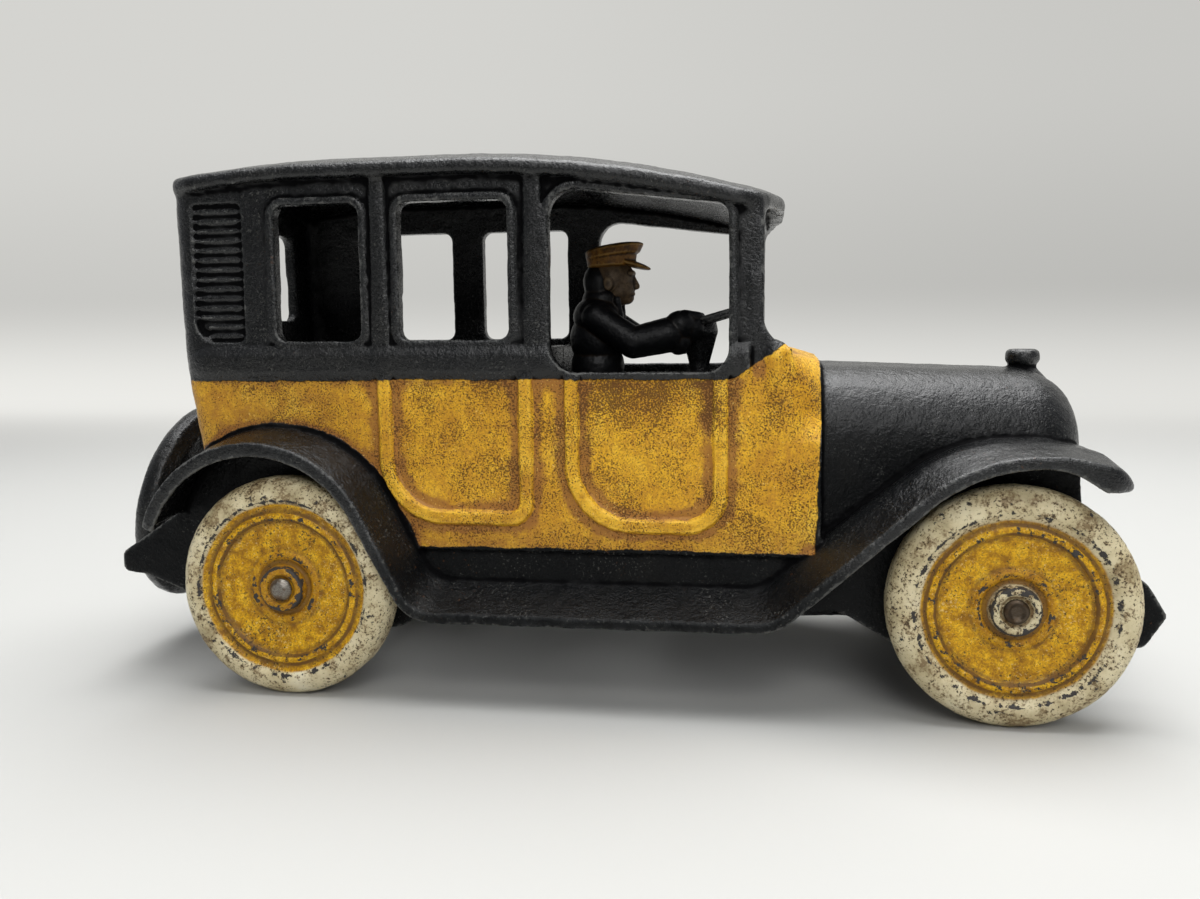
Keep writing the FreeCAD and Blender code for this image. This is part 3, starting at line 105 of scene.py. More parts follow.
# Rings on a wheel's face, by radius
OUTER_GRIME_RING = 16.35      # where dirt gathers on the disc
INNER_GRIME_RING = 14.5
TYRE_RING = 18.2              # where the cream paint chips most
HUB_RING = 4.85               # the hub's chipped edge
FRONT_DISC_RADIUS = 17.2
REAR_DISC_RADIUS = 17.9

BLACK_SPECULAR = 0.42         # on the wings and from the belt up
LOW_BLACK_SPECULAR = 0.11     # lower down
CREVICE_SPECULAR = 0.05

# Cast-iron unevenness: pairs of grain size and height
BODY_GRAIN = [(1.1, 0.11), (5.0, 0.26)]
WHEEL_GRAIN = [(0.8, 0.12), (4.0, 0.22)]
STEEL_GRAIN = [(0.9, 0.06)]
POST_GRAIN = [(0.9, 0.08)]


def place(x, y, z):
    return Vector(((x + REAR_X) * MM, y * MM, z * MM))


def linear(red, green, blue):
    """An 8-bit display colour as linear RGBA."""
    values = [c / 255 for c in (red, green, blue)]
    return [c / 12.92 if c <= 0.04045 else ((c + 0.055) / 1.055) ** 2.4 for c in values] + [1.0]


# ------------------------------------------------------------------ node materials
class Paint:
    """A Principled material and the few nodes that the paints here are made of."""

    def __init__(self, name):
        self.material = bpy.data.materials.new(name)
        self.material.use_nodes = True
        self.tree = self.material.node_tree
        self.shader = self.tree.nodes["Principled BSDF"]
        where = self.add("ShaderNodeTexCoord").outputs["Object"]
        in_mm = self.add("ShaderNodeVectorMath", operation="SCALE")
        self.tree.links.new(where, in_mm.inputs[0])
        in_mm.inputs["Scale"].default_value = 1 / MM
        self.mm = in_mm.outputs[0]

    def add(self, kind, **settings):
        made = self.tree.nodes.new(kind)
        for key, value in settings.items():
            setattr(made, key, value)
        return made

    def put(self, socket, value):
        if isinstance(value, bpy.types.NodeSocket):
            self.tree.links.new(value, socket)
        else:
            socket.default_value = value

    def attribute(self, name):
        return self.add("ShaderNodeAttribute", attribute_name=name).outputs["Fac"]

    def along(self, axis):
        """One of the millimetre coordinates."""
        parts = self.add("ShaderNodeSeparateXYZ")
        self.put(parts.inputs[0], self.mm)
        return parts.outputs[axis]

    def stretched(self, x, y, z):
        """The millimetre coordinates scaled along each axis."""
        made = self.add("ShaderNodeVectorMath", operation="MULTIPLY")
        self.put(made.inputs[0], self.mm)
        made.inputs[1].default_value = (x, y, z)
        return made.outputs[0]

    def noise(self, size, detail=2.0, rough=0.5, vector=None, distortion=0.0):
        """Noise whose features are about size mm across."""
        made = self.add("ShaderNodeTexNoise")
        self.put(made.inputs["Vector"], vector or self.mm)
        made.inputs["Scale"].default_value = 1 / size
        made.inputs["Detail"].default_value = detail
        made.inputs["Roughness"].default_value = rough
        made.inputs["Distortion"].default_value = distortion
        return made.outputs["Fac"]

    def math(self, operation, first, second=0.0, clamp=False):
        made = self.add("ShaderNodeMath", operation=operation, use_clamp=clamp)
        self.put(made.inputs[0], first)
        self.put(made.inputs[1], second)
        return made.outputs[0]

    def band(self, value, low, high, start=0.0, end=1.0):
        """A smooth step from start to end as value goes from low to high."""
        made = self.add("ShaderNodeMapRange", interpolation_type="SMOOTHSTEP")
        self.put(made.inputs["Value"], value)
        made.inputs["From Min"].default_value = low
        made.inputs["From Max"].default_value = high
        made.inputs["To Min"].default_value = start
        made.inputs["To Max"].default_value = end
        return made.outputs["Result"]

    def ramp(self, value, stops):
        made = self.add("ShaderNodeValToRGB")
        self.put(made.inputs["Fac"], value)
        elements = made.color_ramp.elements
        while len(elements) < len(stops):
            elements.new(0.5)
        for element, (position, colour) in zip(elements, stops):
            element.position = position
            element.color = colour
        return made.outputs["Color"]

    def mix(self, under, over, share):
        made = self.add("ShaderNodeMix", data_type="RGBA")
        self.put(made.inputs["Factor"], share)
        self.put(made.inputs["A"], under)
        self.put(made.inputs["B"], over)
        return made.outputs["Result"]

    def blend_value(self, under, over, share):
        made = self.add("ShaderNodeMix", data_type="FLOAT")
        self.put(made.inputs[0], share)
        self.put(made.inputs[2], under)
        self.put(made.inputs[3], over)
        return made.outputs[0]

    def finish(self, colour, roughness, height, depth, specular=0.5, metallic=0.0):
        """Joins the layers to the shader, with a bump of depth mm."""
        self.put(self.shader.inputs["Base Color"], colour)
        self.put(self.shader.inputs["Roughness"], roughness)
        self.put(self.shader.inputs["Metallic"], metallic)
        self.put(self.shader.inputs["Specular IOR Level"], specular)
        bump = self.add("ShaderNodeBump")
        bump.inputs["Strength"].default_value = 1.0
        bump.inputs["Distance"].default_value = depth * MM
        self.put(bump.inputs["Height"], height)
        self.put(self.shader.inputs["Normal"], bump.outputs["Normal"])
        return self.material


def black_enamel_layers(paint):
    """Colour, roughness, height and crevices of satin black enamel on rough iron, worn on its edges, with
    painted shade in the crevices.
    """
    edge = paint.attribute("curvature")
    grit = paint.noise(0.7, 3, 0.6)
    lumps = paint.noise(2.6, 3, 0.6)
    colour = paint.ramp(paint.noise(14, 3), [(0.3, linear(10, 11, 12)), (0.55, linear(14, 15, 16)),
                                             (0.75, linear(21, 21, 20))])
    # Pale grey specks: some stand for dust and some are painted glints of light on the black.
    dust_and_glints = paint.math("MULTIPLY", paint.band(paint.noise(0.5, 2), 0.60, 0.70),
                      paint.band(paint.noise(9, 2), 0.44, 0.64))
    colour = paint.mix(colour, linear(84, 84, 80), paint.math("MULTIPLY", dust_and_glints, 0.6))
    rubbed = paint.math("MULTIPLY", paint.band(edge, 0.03, 0.4), paint.band(lumps, 0.35, 0.6))
    colour = paint.mix(colour, linear(62, 64, 64), paint.math("MULTIPLY", rubbed, 0.25))
    worn = paint.math("ADD", edge, paint.math("MULTIPLY", paint.noise(1.1, 4, 0.65), 1.5))
    worn = paint.band(worn, 1.16, 1.5)
    colour = paint.mix(colour, linear(100, 100, 97), paint.math("MULTIPLY", worn, 0.6))
    rust = paint.math("MULTIPLY", paint.band(paint.noise(0.8, 3), 0.66, 0.72),
                      paint.band(paint.noise(22, 2), 0.54, 0.64))
    colour = paint.mix(colour, linear(86, 56, 32), paint.math("MULTIPLY", rust, 0.45))
    # Painted shade: hollows and crevices are darkened to near black, and made rougher and less glossy.
    crevice = paint.band(paint.math("MULTIPLY", edge, -1.0), 0.04, 0.3)
    colour = paint.mix(colour, linear(3, 3, 4), crevice)
    roughness = paint.blend_value(paint.band(grit, 0.3, 0.7, 0.13, 0.30), 0.5, worn)
    roughness = paint.blend_value(roughness, 0.7, crevice)
    height = paint.math("ADD", grit, paint.math("MULTIPLY", lumps, 1.3))
    height = paint.math("ADD", height, paint.math("MULTIPLY", paint.noise(0.32, 2, 0.6), 0.6))
    return colour, roughness, height, crevice


def yellow_enamel_layers(paint):
    """Colour, roughness and height of mottled yellow enamel, browned and chipped with age, with a painted
    highlight on its ridges.
    """
    edge = paint.attribute("curvature")
    middle = paint.noise(3.4, 4, 0.62)
    colour = paint.ramp(paint.blend_value(paint.noise(13, 3, 0.55), middle, 0.45),
                        [(0.32, linear(196, 138, 24)), (0.44, linear(220, 164, 30)),
                         (0.55, linear(234, 180, 36)), (0.68, linear(246, 200, 62))])
    along, height_above = paint.along("X"), paint.along("Z")
    # Darker and browner towards the rear end and towards the sill.
    darker_rear_and_low = paint.math("ADD", paint.band(along, REAR_X + 4, REAR_X + 22, 0.5, 0.12),
                      paint.band(height_above, SILL_Z, SILL_Z + 9, 0.45, 0.0))
    darker_rear_and_low = paint.math("SUBTRACT", darker_rear_and_low, paint.band(along, REAR_X + 52, REAR_X + 60, 0.0, 0.12))
    darker_rear_and_low = paint.math("MULTIPLY", darker_rear_and_low, paint.band(middle, 0.3, 0.6, 1.5, 0.7), clamp=True)
    colour = paint.mix(colour, linear(158, 108, 42), darker_rear_and_low)
    grain = paint.band(paint.noise(0.42, 2, 0.6), 0.44, 0.60)
    colour = paint.mix(colour, linear(160, 104, 34), paint.math("MULTIPLY", grain, 0.5))
    streak = paint.noise(0.8, 3, 0.6, paint.stretched(1.0, 1.0, 0.22))
    wash = paint.band(paint.math("ADD", streak, paint.math("MULTIPLY", middle, -0.3)), 0.33, 0.5)
    colour = paint.mix(colour, linear(188, 128, 34), paint.math("MULTIPLY", wash, 0.35))
    hollow = paint.math("ADD", paint.attribute("hollow"),
                        paint.math("MULTIPLY", paint.noise(2.0, 3, 0.6), 0.10))
    hollow = paint.band(hollow, 0.075, 0.15)
    colour = paint.mix(colour, linear(150, 96, 44), paint.math("MULTIPLY", hollow, 0.8))
    # Painted highlight: convex ridges and beads are lightened towards bright yellow.
    painted_ridge_highlight = paint.math("MULTIPLY", paint.band(edge, 0.06, 0.4), paint.band(middle, 0.36, 0.6, 0.3, 1.0))
    colour = paint.mix(colour, linear(246, 196, 60), paint.math("MULTIPLY", painted_ridge_highlight, 0.7))
    margin = paint.band(paint.attribute("yellow_depth"), 0.5, 7.0, 1.0, 0.0)
    below_window = paint.math("MULTIPLY", paint.band(along, REAR_X + 56, REAR_X + 68),
                              paint.band(along, REAR_X + 88, REAR_X + 98, 1.0, 0.0))
    below_window = paint.math("MULTIPLY", below_window, paint.band(height_above, 50.0, 64.0))
    density = paint.math("MULTIPLY", paint.noise(9, 3, 0.6), 0.5)
    for mask, weight in ((hollow, 0.03), (margin, 0.06), (below_window, 0.10)):
        density = paint.math("ADD", density, paint.math("MULTIPLY", mask, weight))
    speck = paint.band(paint.math("ADD", paint.noise(0.36, 2, 0.65), density), 0.865, 0.925)
    colour = paint.mix(colour, linear(84, 50, 18), paint.math("MULTIPLY", speck, 0.85))
    fleck = paint.band(paint.math("ADD", paint.noise(0.5, 2, 0.6, distortion=0.4),
                                  paint.math("MULTIPLY", paint.noise(7, 2), 0.2)), 0.76, 0.82)
    colour = paint.mix(colour, linear(246, 208, 112), paint.math("MULTIPLY", fleck, 0.6))
    chip = paint.math("ADD", edge, paint.math("MULTIPLY", paint.noise(1.1, 4, 0.7), 1.8))
    chip = paint.band(chip, 1.74, 1.92)
    colour = paint.mix(colour, linear(48, 36, 24), chip)
    roughness = paint.blend_value(0.42, 0.7, speck)
    height = paint.math("ADD", paint.noise(0.8, 3, 0.6), paint.math("MULTIPLY", speck, -0.6))
    return colour, roughness, height


def body_paint():
    """Yellow below the belt and black elsewhere, with a hand-painted edge between them."""
    paint = Paint("body_enamel_worn")
    black, black_rough, black_height, crevice = black_enamel_layers(paint)
    yellow, yellow_rough, yellow_height = yellow_enamel_layers(paint)
    wobble = paint.math("MULTIPLY", paint.math("SUBTRACT", paint.noise(7, 2, 0.5), 0.5), 1.3)
    ragged = paint.math("MULTIPLY", paint.math("SUBTRACT", paint.noise(0.8, 3, 0.6), 0.5), 0.7)
    depth = paint.math("ADD", paint.attribute("yellow_depth"), paint.math("ADD", wobble, ragged))
    share = paint.band(depth, -0.14, 0.14)
    colour = paint.mix(black, yellow, share)
    roughness = paint.blend_value(black_rough, yellow_rough, share)
    height = paint.blend_value(black_height, yellow_height, share)
    wing = paint.math("MULTIPLY", paint.band(paint.math("ABSOLUTE", paint.along("Y")), 34.0, 36.0),
                      paint.band(paint.along("Z"), 26.0, 34.0))
    upper = paint.math("MAXIMUM", wing, paint.band(paint.along("Z"), 44.0, 66.0))
    gloss = paint.blend_value(LOW_BLACK_SPECULAR, BLACK_SPECULAR, upper)
    gloss = paint.blend_value(gloss, CREVICE_SPECULAR, crevice)
    specular = paint.blend_value(gloss, 0.35, share)
    return paint.finish(colour, roughness, height, 0.17, specular=specular)


def black_paint():
    paint = Paint("black_enamel_worn")
    colour, roughness, height, crevice = black_enamel_layers(paint)
    specular = paint.blend_value(0.32, CREVICE_SPECULAR, crevice)
    return paint.finish(colour, roughness, height, 0.16, specular=specular)


def ring_line(paint, radius, where, half_width):
    """One on a thin ring, fading to nothing beside it."""
    off = paint.math("ABSOLUTE", paint.math("SUBTRACT", radius, where))
    return paint.band(off, half_width * 0.4, half_width, 1.0, 0.0)


def wheel_paint(white_hub, disc_radius):
    """Cream tyre ring and mottled yellow disc, chipped to dark iron."""
    paint = Paint("wheel_enamel_white_hub" if white_hub else "wheel_enamel_yellow_hub")
    edge = paint.attribute("curvature")
    wander = paint.math("MULTIPLY", paint.math("SUBTRACT", paint.noise(6, 3, 0.6), 0.5), 0.9)
    radius = paint.math("ADD", paint.attribute("radius"), wander)
    middle = paint.noise(2.0, 4, 0.65)
    fine = paint.noise(0.5, 3, 0.6)
    patches = paint.noise(7, 4, 0.6)
    cream = paint.ramp(patches, [(0.30, linear(158, 144, 108)), (0.45, linear(198, 184, 146)),
                                 (0.60, linear(216, 204, 168)), (0.75, linear(228, 219, 190))])
    soil = paint.math("ADD", middle, paint.math("MULTIPLY", fine, 0.5))
    soil = paint.band(paint.math("ADD", soil, paint.math("MULTIPLY", patches, -0.5)), 0.46, 0.68)
    cream = paint.mix(cream, linear(122, 100, 68), paint.math("MULTIPLY", soil, 0.85))
    yellow = paint.ramp(middle, [(0.34, linear(148, 102, 6)), (0.45, linear(196, 144, 8)),
                                 (0.55, linear(222, 170, 14)), (0.70, linear(238, 192, 44))])
    grain = paint.band(paint.noise(0.4, 2, 0.6), 0.42, 0.60)
    yellow = paint.mix(yellow, linear(128, 84, 14), paint.math("MULTIPLY", grain, 0.5))
    by_hub = paint.band(radius, 5.5, 10.0, 1.0, 0.0)
    yellow = paint.mix(yellow, linear(150, 98, 20), paint.math("MULTIPLY", by_hub, 0.5))
    flecks = paint.math("ADD", paint.noise(0.45, 2, 0.6, distortion=0.5),
                        paint.math("MULTIPLY", paint.noise(6, 2), 0.3))
    flecks = paint.band(flecks, 0.77, 0.85)
    yellow = paint.mix(yellow, linear(226, 204, 140), paint.math("MULTIPLY", flecks, 0.55))
    colour = paint.mix(cream, yellow, paint.band(radius, disc_radius - 0.25, disc_radius + 0.25, 1.0, 0.0))
    if white_hub:
        colour = paint.mix(colour, cream, paint.band(radius, 4.9, 5.2, 1.0, 0.0))
    hollow = paint.band(paint.math("MULTIPLY", edge, -1.0), 0.05, 0.45)
    grime = paint.math("MULTIPLY", paint.math("ADD", ring_line(paint, radius, OUTER_GRIME_RING, 0.55),
                                              ring_line(paint, radius, INNER_GRIME_RING, 0.5)),
                       paint.band(patches, 0.3, 0.55, 0.4, 0.95), clamp=True)
    grime = paint.math("MAXIMUM", grime, paint.math("MULTIPLY", hollow, 0.75))
    colour = paint.mix(colour, linear(104, 72, 28), grime)
    pits = paint.math("ADD", fine, paint.math("MULTIPLY", paint.noise(8, 3), 0.34))
    pits = paint.band(pits, 0.755, 0.81)
    colour = paint.mix(colour, linear(62, 48, 30), paint.math("MULTIPLY", pits, 0.85))
    chip = paint.math("ADD", paint.math("MULTIPLY", edge, 0.8),
                      paint.math("MULTIPLY", paint.noise(2.4, 5, 0.72), 2.4))
    chip = paint.math("ADD", chip, paint.math("MULTIPLY", ring_line(paint, radius, TYRE_RING, 0.8), 0.27))
    chip = paint.math("ADD", chip, paint.math("MULTIPLY", ring_line(paint, radius, HUB_RING, 0.5), 0.32))
    chip = paint.band(chip, 1.62, 1.70)
    colour = paint.mix(colour, linear(58, 55, 53), chip)
    roughness = paint.blend_value(0.5, 0.7, pits)
    height = paint.math("ADD", paint.noise(0.8, 3, 0.6), paint.math("MULTIPLY", chip, -0.8))
    return paint.finish(colour, roughness, height, 0.16, specular=0.3)


def steel(name, tarnish):
    """Dull peened steel with fine scratches, tarnished brown."""
    paint = Paint(name)
    scratch = paint.noise(0.4, 4, 0.7, paint.stretched(1.0, 0.2, 3.0))
    colour = paint.ramp(scratch, [(0.3, linear(92, 84, 74)), (0.55, linear(150, 146, 138)),
                                  (0.75, linear(186, 182, 174))])
    brown = paint.band(paint.noise(1.8, 3), 0.5, 0.62)
    colour = paint.mix(colour, linear(88, 62, 38), paint.math("MULTIPLY", brown, 0.6))
    colour = paint.mix(colour, linear(58, 42, 22), tarnish)
    roughness = paint.band(scratch, 0.2, 0.8, 0.28, 0.5)
    return paint.finish(colour, roughness, scratch, 0.05, metallic=0.85)


def driver_paint(name, stops, worn):
    """Old paint on the driver, worn through on the high spots."""
    paint = Paint(name)
    colour = paint.ramp(paint.noise(1.8, 4, 0.65), stops)
    edge = paint.attribute("curvature")
    rub = paint.band(paint.math("ADD", edge, paint.noise(0.7, 3)), 0.8, 1.3)
    colour = paint.mix(colour, worn, paint.math("MULTIPLY", rub, 0.5))
    crevice = paint.band(paint.math("MULTIPLY", edge, -1.0), 0.05, 0.5)
    colour = paint.mix(colour, linear(28, 20, 12), paint.math("MULTIPLY", crevice, 0.7))
    return paint.finish(colour, 0.45, paint.noise(0.6, 3), 0.10, specular=0.25)


# ------------------------------------------------------------------ castings
def as_object(name, mesh):
    piece = bpy.data.objects.new(name, mesh)
    bpy.context.scene.collection.objects.link(piece)
    return piece


def evaluated(piece):
    """Applies a piece's modifiers."""
    graph = bpy.context.evaluated_depsgraph_get()
    done = bpy.data.meshes.new_from_object(piece.evaluated_get(graph))
    piece.modifiers.clear()
    piece.data = done
    return piece


def mellow(mesh, weights, rounds):
    """Rounds off the parts of a mesh in mm that have weight."""
    points, _ = arrays(mesh)
    share = 0.6 * weights(points)[:, None]
    ends = np.empty(len(mesh.edges) * 2, dtype=np.int64)
    mesh.edges.foreach_get("vertices", ends)
    first, second = ends.reshape(-1, 2).T
    chosen = (share[first, 0] > 0) | (share[second, 0] > 0)
    first, second = first[chosen], second[chosen]
    count = len(points)
    around = np.maximum(np.bincount(first, minlength=count) + np.bincount(second, minlength=count), 1)
    for _ in range(rounds):
        mean = np.stack([np.bincount(first, points[second, axis], count)
                         + np.bincount(second, points[first, axis], count)
                         for axis in range(3)], axis=1) / around[:, None]
        points += share * (mean - points)
    mesh.vertices.foreach_set("co", points.ravel())
    mesh.update()


def roof_and_wing_ends(points):
    """Where the casting is rolled rather than sharp: the roof's edge and the front wing's tip."""
    x, wide, z = points[:, 0] - REAR_X, np.abs(points[:, 1]), points[:, 2]
    beyond = np.maximum(np.maximum(ROOF_LEVEL_X[0] - x, x - ROOF_LEVEL_X[1]), 0)
    fall = ROOF_EDGE_BOW_RADIUS - np.sqrt(ROOF_EDGE_BOW_RADIUS ** 2 - beyond ** 2)
    low = ROLL_LOW_Z - fall
    low = np.where((wide < DEEP_HALF_WIDTH) | (x > DEEP_X), low - DEEPER, low)
    visor = VISOR_X - VISOR_BOW * (wide / ROOF_HALF_WIDTH) ** 2
    inward = np.minimum(np.minimum(ROOF_HALF_WIDTH - wide, x - ROOF_REAR_X), visor - x)
    roof = np.clip((ROLL_REACH - inward) / ROLL_FADE, 0, 1) * (z > low)
    tip = np.clip((x - TIP_START_X) / ROLL_FADE, 0, 1) * (z > TIP_LOW_Z) * (wide > TIP_INNER_Y)
    return np.maximum(roof, TIP_SHARE * tip)


def roll_wing_tips(work):
    """A rolled bead that carries the front wing's lip round the corner of its tip."""
    for side in (-1, 1):
        for start, end in zip(TIP_BEAD, TIP_BEAD[1:]):
            ends = [(x + REAR_X, side * wide, z) for x, wide, z in (start, end)]
            limb(work, *ends, TIP_BEAD_RADIUS, TIP_BEAD_RADIUS)


def skin(piece, voxel, rounds, waves, keep, rolled=None):
    """Rebuilds a piece as one even skin, rounds its edges and gives it cast-iron unevenness."""
    remesh = piece.modifiers.new("skin", "REMESH")
    remesh.mode = "VOXEL"
    remesh.voxel_size = voxel
    soften = piece.modifiers.new("soften", "SMOOTH")
    soften.factor = 0.5
    soften.iterations = rounds
    if rolled:
        mellow(evaluated(piece).data, rolled, 24)
    for size, height in waves:
        texture = bpy.data.textures.new("cast", "CLOUDS")
        texture.noise_scale = size
        texture.noise_depth = 1
        uneven = piece.modifiers.new("uneven", "DISPLACE")
        uneven.texture = texture
        uneven.texture_coords = "LOCAL"
        uneven.strength = height
        uneven.mid_level = 0.5
    if keep < 1:
        thin = piece.modifiers.new("thin", "DECIMATE")
        thin.ratio = keep
    return evaluated(piece)


def arrays(mesh):
    count = len(mesh.vertices)
    points = np.empty(count * 3)
    mesh.vertices.foreach_get("co", points)
    normals = np.empty(count * 3)
    mesh.vertex_normals.foreach_get("vector", normals)
    return points.reshape(-1, 3), normals.reshape(-1, 3)


def curvature(mesh, rounds=3):
    """Mean curvature at each vertex in 1/mm, positive on outward edges, evened out."""
    points, normals = arrays(mesh)
    ends = np.empty(len(mesh.edges) * 2, dtype=np.int64)
    mesh.edges.foreach_get("vertices", ends)
    first, second = ends.reshape(-1, 2).T
    span = points[second] - points[first]
    square = np.maximum((span ** 2).sum(1), 1e-6)
    count = len(points)
    around = np.bincount(first, minlength=count) + np.bincount(second, minlength=count)
    around = np.maximum(around, 1)
    bend = np.bincount(first, -2 * (span * normals[first]).sum(1) / square, count)
    bend += np.bincount(second, 2 * (span * normals[second]).sum(1) / square, count)
    bend /= around
    for _ in range(rounds):
        spread = np.bincount(first, bend[second], count) + np.bincount(second, bend[first], count)
        bend = 0.5 * bend + 0.5 * spread / around
    return bend


def yellow_depth(mesh):
    """How far inside the yellow area each vertex is, in mm, negative outside it."""
    points, normals = arrays(mesh)
    x = points[:, 0] - REAR_X
    wide = np.abs(points[:, 1])
    z = points[:, 2]
    top = BELT_Z + np.maximum(x - PILLAR_X, 0) * PILLAR_RISE - z
    arch = np.hypot(x - ARCH_CENTRE[0], z - ARCH_CENTRE[1]) - ARCH_RADIUS
    touch_x = ARCH_CENTRE[0] + ARCH_RADIUS * math.sin(LEG_ANGLE)
    touch_z = ARCH_CENTRE[1] + ARCH_RADIUS * math.cos(LEG_ANGLE)
    leg = (x - touch_x) * math.sin(LEG_ANGLE) + (z - touch_z) * math.cos(LEG_ANGLE)
    rear = np.where(z < touch_z, leg, arch)
    rear = np.where(x > REAR_WING_END_X, FAR_INSIDE, rear)
    foot_x, foot_z = FRONT_WING_FOOT
    wing = -(x - foot_x) * math.sin(FRONT_WING_ANGLE) + (z - foot_z) * math.cos(FRONT_WING_ANGLE)
    wing = wing + FRONT_WING_OVERRUN
    away = points - (np.array(CAB_CENTRE) + np.array([REAR_X, 0, 0]))
    away /= np.linalg.norm(away, axis=1)[:, None]
    outward = np.maximum((away * normals).sum(1) * 10, (wide - SIDE_HALF_WIDTH) * 4)
    scuttle = SCUTTLE_X - x - np.maximum(SCUTTLE_LEAN_Z - z, 0) * SCUTTLE_LEAN
    depth = np.min([top, rear, wing, z - SILL_Z, scuttle, PAINT_HALF_WIDTH - wide, outward], axis=0)
    inside_cab = (wide < CAB_HALF_WIDTH) & (x > CAB_REAR_X) & (x < CAB_FRONT_X)
    return np.where(inside_cab, np.minimum(depth, UNPAINTED), depth)


def hollow(mesh):
    """How deep each vertex lies in a hollow or beside a bead, spread over a millimetre or two."""
    return -curvature(mesh, 14)


def store(mesh, name, values):
    made = mesh.attributes.new(name, "FLOAT", "POINT")
    made.data.foreach_set("value", values.astype(np.float32))


def keep_inside(mesh, low, high):
    """Holds a mesh in mm inside a box in metres, so that roughness never grows the casting."""
    points, _ = arrays(mesh)
    points = np.clip(points, np.array(low) / MM, np.array(high) / MM)
    mesh.vertices.foreach_set("co", points.ravel())


def finish_piece(piece, material):
    piece.data.transform(Matrix.Scale(MM, 4))
    piece.data.materials.clear()
    piece.data.materials.append(material)
    piece.data.shade_smooth()
    return piece


def casting(node, body, material, voxel, rounds, waves, keep, paints=(), rolled=None,
            added=None):
    """The visible casting that stands for a CAD node."""
    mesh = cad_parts[node].data.copy()
    mesh.transform(Matrix.Scale(1 / MM, 4))
    work = bmesh.new()
    work.from_mesh(mesh)
    bmesh.ops.remove_doubles(work, verts=work.verts, dist=0.001)
    if added:
        added(work)
    work.to_mesh(mesh)
    work.free()
    piece = as_object(node + "_cast", mesh)
    skin(piece, voxel, rounds, waves, keep, rolled)
    low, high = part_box(node)
    keep_inside(piece.data, low, high)
    store(piece.data, "curvature", curvature(piece.data))
    for paint_name, paint_values in paints:
        store(piece.data, paint_name, paint_values(piece.data))
    finish_piece(piece, material)
    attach(piece, body)
    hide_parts(node)
    return piece


def radius_about(x, z):
    """Distance of each vertex from the line through (x, z) along Y."""
    def values(mesh):
        points, _ = arrays(mesh)
        return np.hypot(points[:, 0] - REAR_X - x, points[:, 2] - z)
    return values


def build_castings():
    body = body_paint()
    black = black_paint()
    metal = steel("peened_steel", 0.15)
    dark_metal = steel("peened_steel_dark", 0.85)
    for side in ("left", "right"):
        casting(side + "_body_half", "car_body", body, 0.42, 2, BODY_GRAIN, 0.36,
                [("yellow_depth", yellow_depth), ("hollow", hollow)], roof_and_wing_ends,
                roll_wing_tips)
    ends = (("front", WHEELBASE, wheel_paint(True, FRONT_DISC_RADIUS), dark_metal),
            ("rear", 0.0, wheel_paint(False, REAR_DISC_RADIUS), metal))
    for end, x, hub, rod in ends:
        for side in ("left", "right"):
            casting(f"{end}_{side}_wheel", f"{end}_{side}", hub, 0.34, 3,
                    WHEEL_GRAIN, 0.6, [("radius", radius_about(x, AXLE_Z))])
        casting(end + "_axle", end + "_axle_rod", rod, 0.22, 2, STEEL_GRAIN, 0.6)
    casting("spare_wheel", "car_body", black, 0.4, 3, BODY_GRAIN, 0.6)
    casting("spare_stud", "car_body", metal, 0.25, 2, STEEL_GRAIN, 0.6)
    casting("steering_post", "car_body", black, 0.22, 2, POST_GRAIN, 1.0)
    for name in ("rear", "middle", "front"):
        casting(name + "_body_rivet", "car_body", metal, 0.2, 2, STEEL_GRAIN, 1.0)


# ------------------------------------------------------------------ driver
def ball(work, centre, radii, turn=0.0):
    """An ellipsoid in mm, turned about Y by degrees."""
    spin = Matrix.Rotation(math.radians(turn), 4, "Y")
    scale = Matrix.Diagonal((*radii, 1.0))
    bmesh.ops.create_uvsphere(work, u_segments=32, v_segments=20, radius=1.0,
                              matrix=Matrix.Translation(centre) @ spin @ scale)


def limb(work, start, end, radius_start, radius_end):
    """A tapered limb with rounded ends."""
    start, end = Vector(start), Vector(end)
    steps = max(int((end - start).length / 0.6), 2)
    for step in range(steps + 1):
        share = step / steps
        radius = radius_start + (radius_end - radius_start) * share
        ball(work, start.lerp(end, share), (radius, radius, radius))


def drawn(name, draw, material, voxel, rounds, waves):
    """A driver piece from overlapping forms, in mm from the rear axle."""
    work = bmesh.new()
    draw(work)
    mesh = bpy.data.meshes.new(name)
    work.to_mesh(mesh)
    work.free()
    mesh.transform(Matrix.Translation((REAR_X, 0, 0)))
    piece = as_object(name, mesh)
    skin(piece, voxel, rounds, waves, 1.0)
    low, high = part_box("driver_figure")
    keep_inside(piece.data, low, high + Vector((3 * MM, 0, 0)))
    store(piece.data, "curvature", curvature(piece.data))
    finish_piece(piece, material)
    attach(piece, "car_body")
    return piece


def draw_coat(work):
    """Coat, high collar, lapels, thick sleeves, cuffs and gloved hands."""
    ball(work, (60.8, 0, 68.0), (6.2, 6.6, 7.0))
    ball(work, (60.8, 0, 74.5), (6.4, 7.2, 7.0))
    ball(work, (61.0, 0, 79.6), (5.8, 8.2, 4.8))
    ball(work, (62.0, 0, 83.4), (4.7, 4.9, 3.6))
    ball(work, (61.4, 0, 87.2), (3.8, 4.6, 4.8), -6)
    for side in (-1, 1):
        limb(work, (61.4, side * 6.2, 79.4), (70.0, side * 6.8, 73.6), 3.3, 3.6)
        limb(work, (70.0, side * 6.8, 73.6), (77.6, side * 5.8, 75.2), 3.6, 4.0)
        ball(work, (80.2, side * 5.4, 73.6), (2.8, 2.6, 2.9))
        ball(work, (80.4, side * 5.6, 77.2), (3.6, 3.0, 3.5), -14)
        ball(work, (83.2, side * 4.8, 76.4), (2.6, 2.3, 3.0), 30)
        limb(work, (81.4, side * 5.4, 79.4), (84.4, side * 4.4, 79.2), 1.5, 1.2)
        limb(work, (66.0, side * 3.6, 83.4), (67.0, side * 1.0, 76.0), 0.8, 0.6)


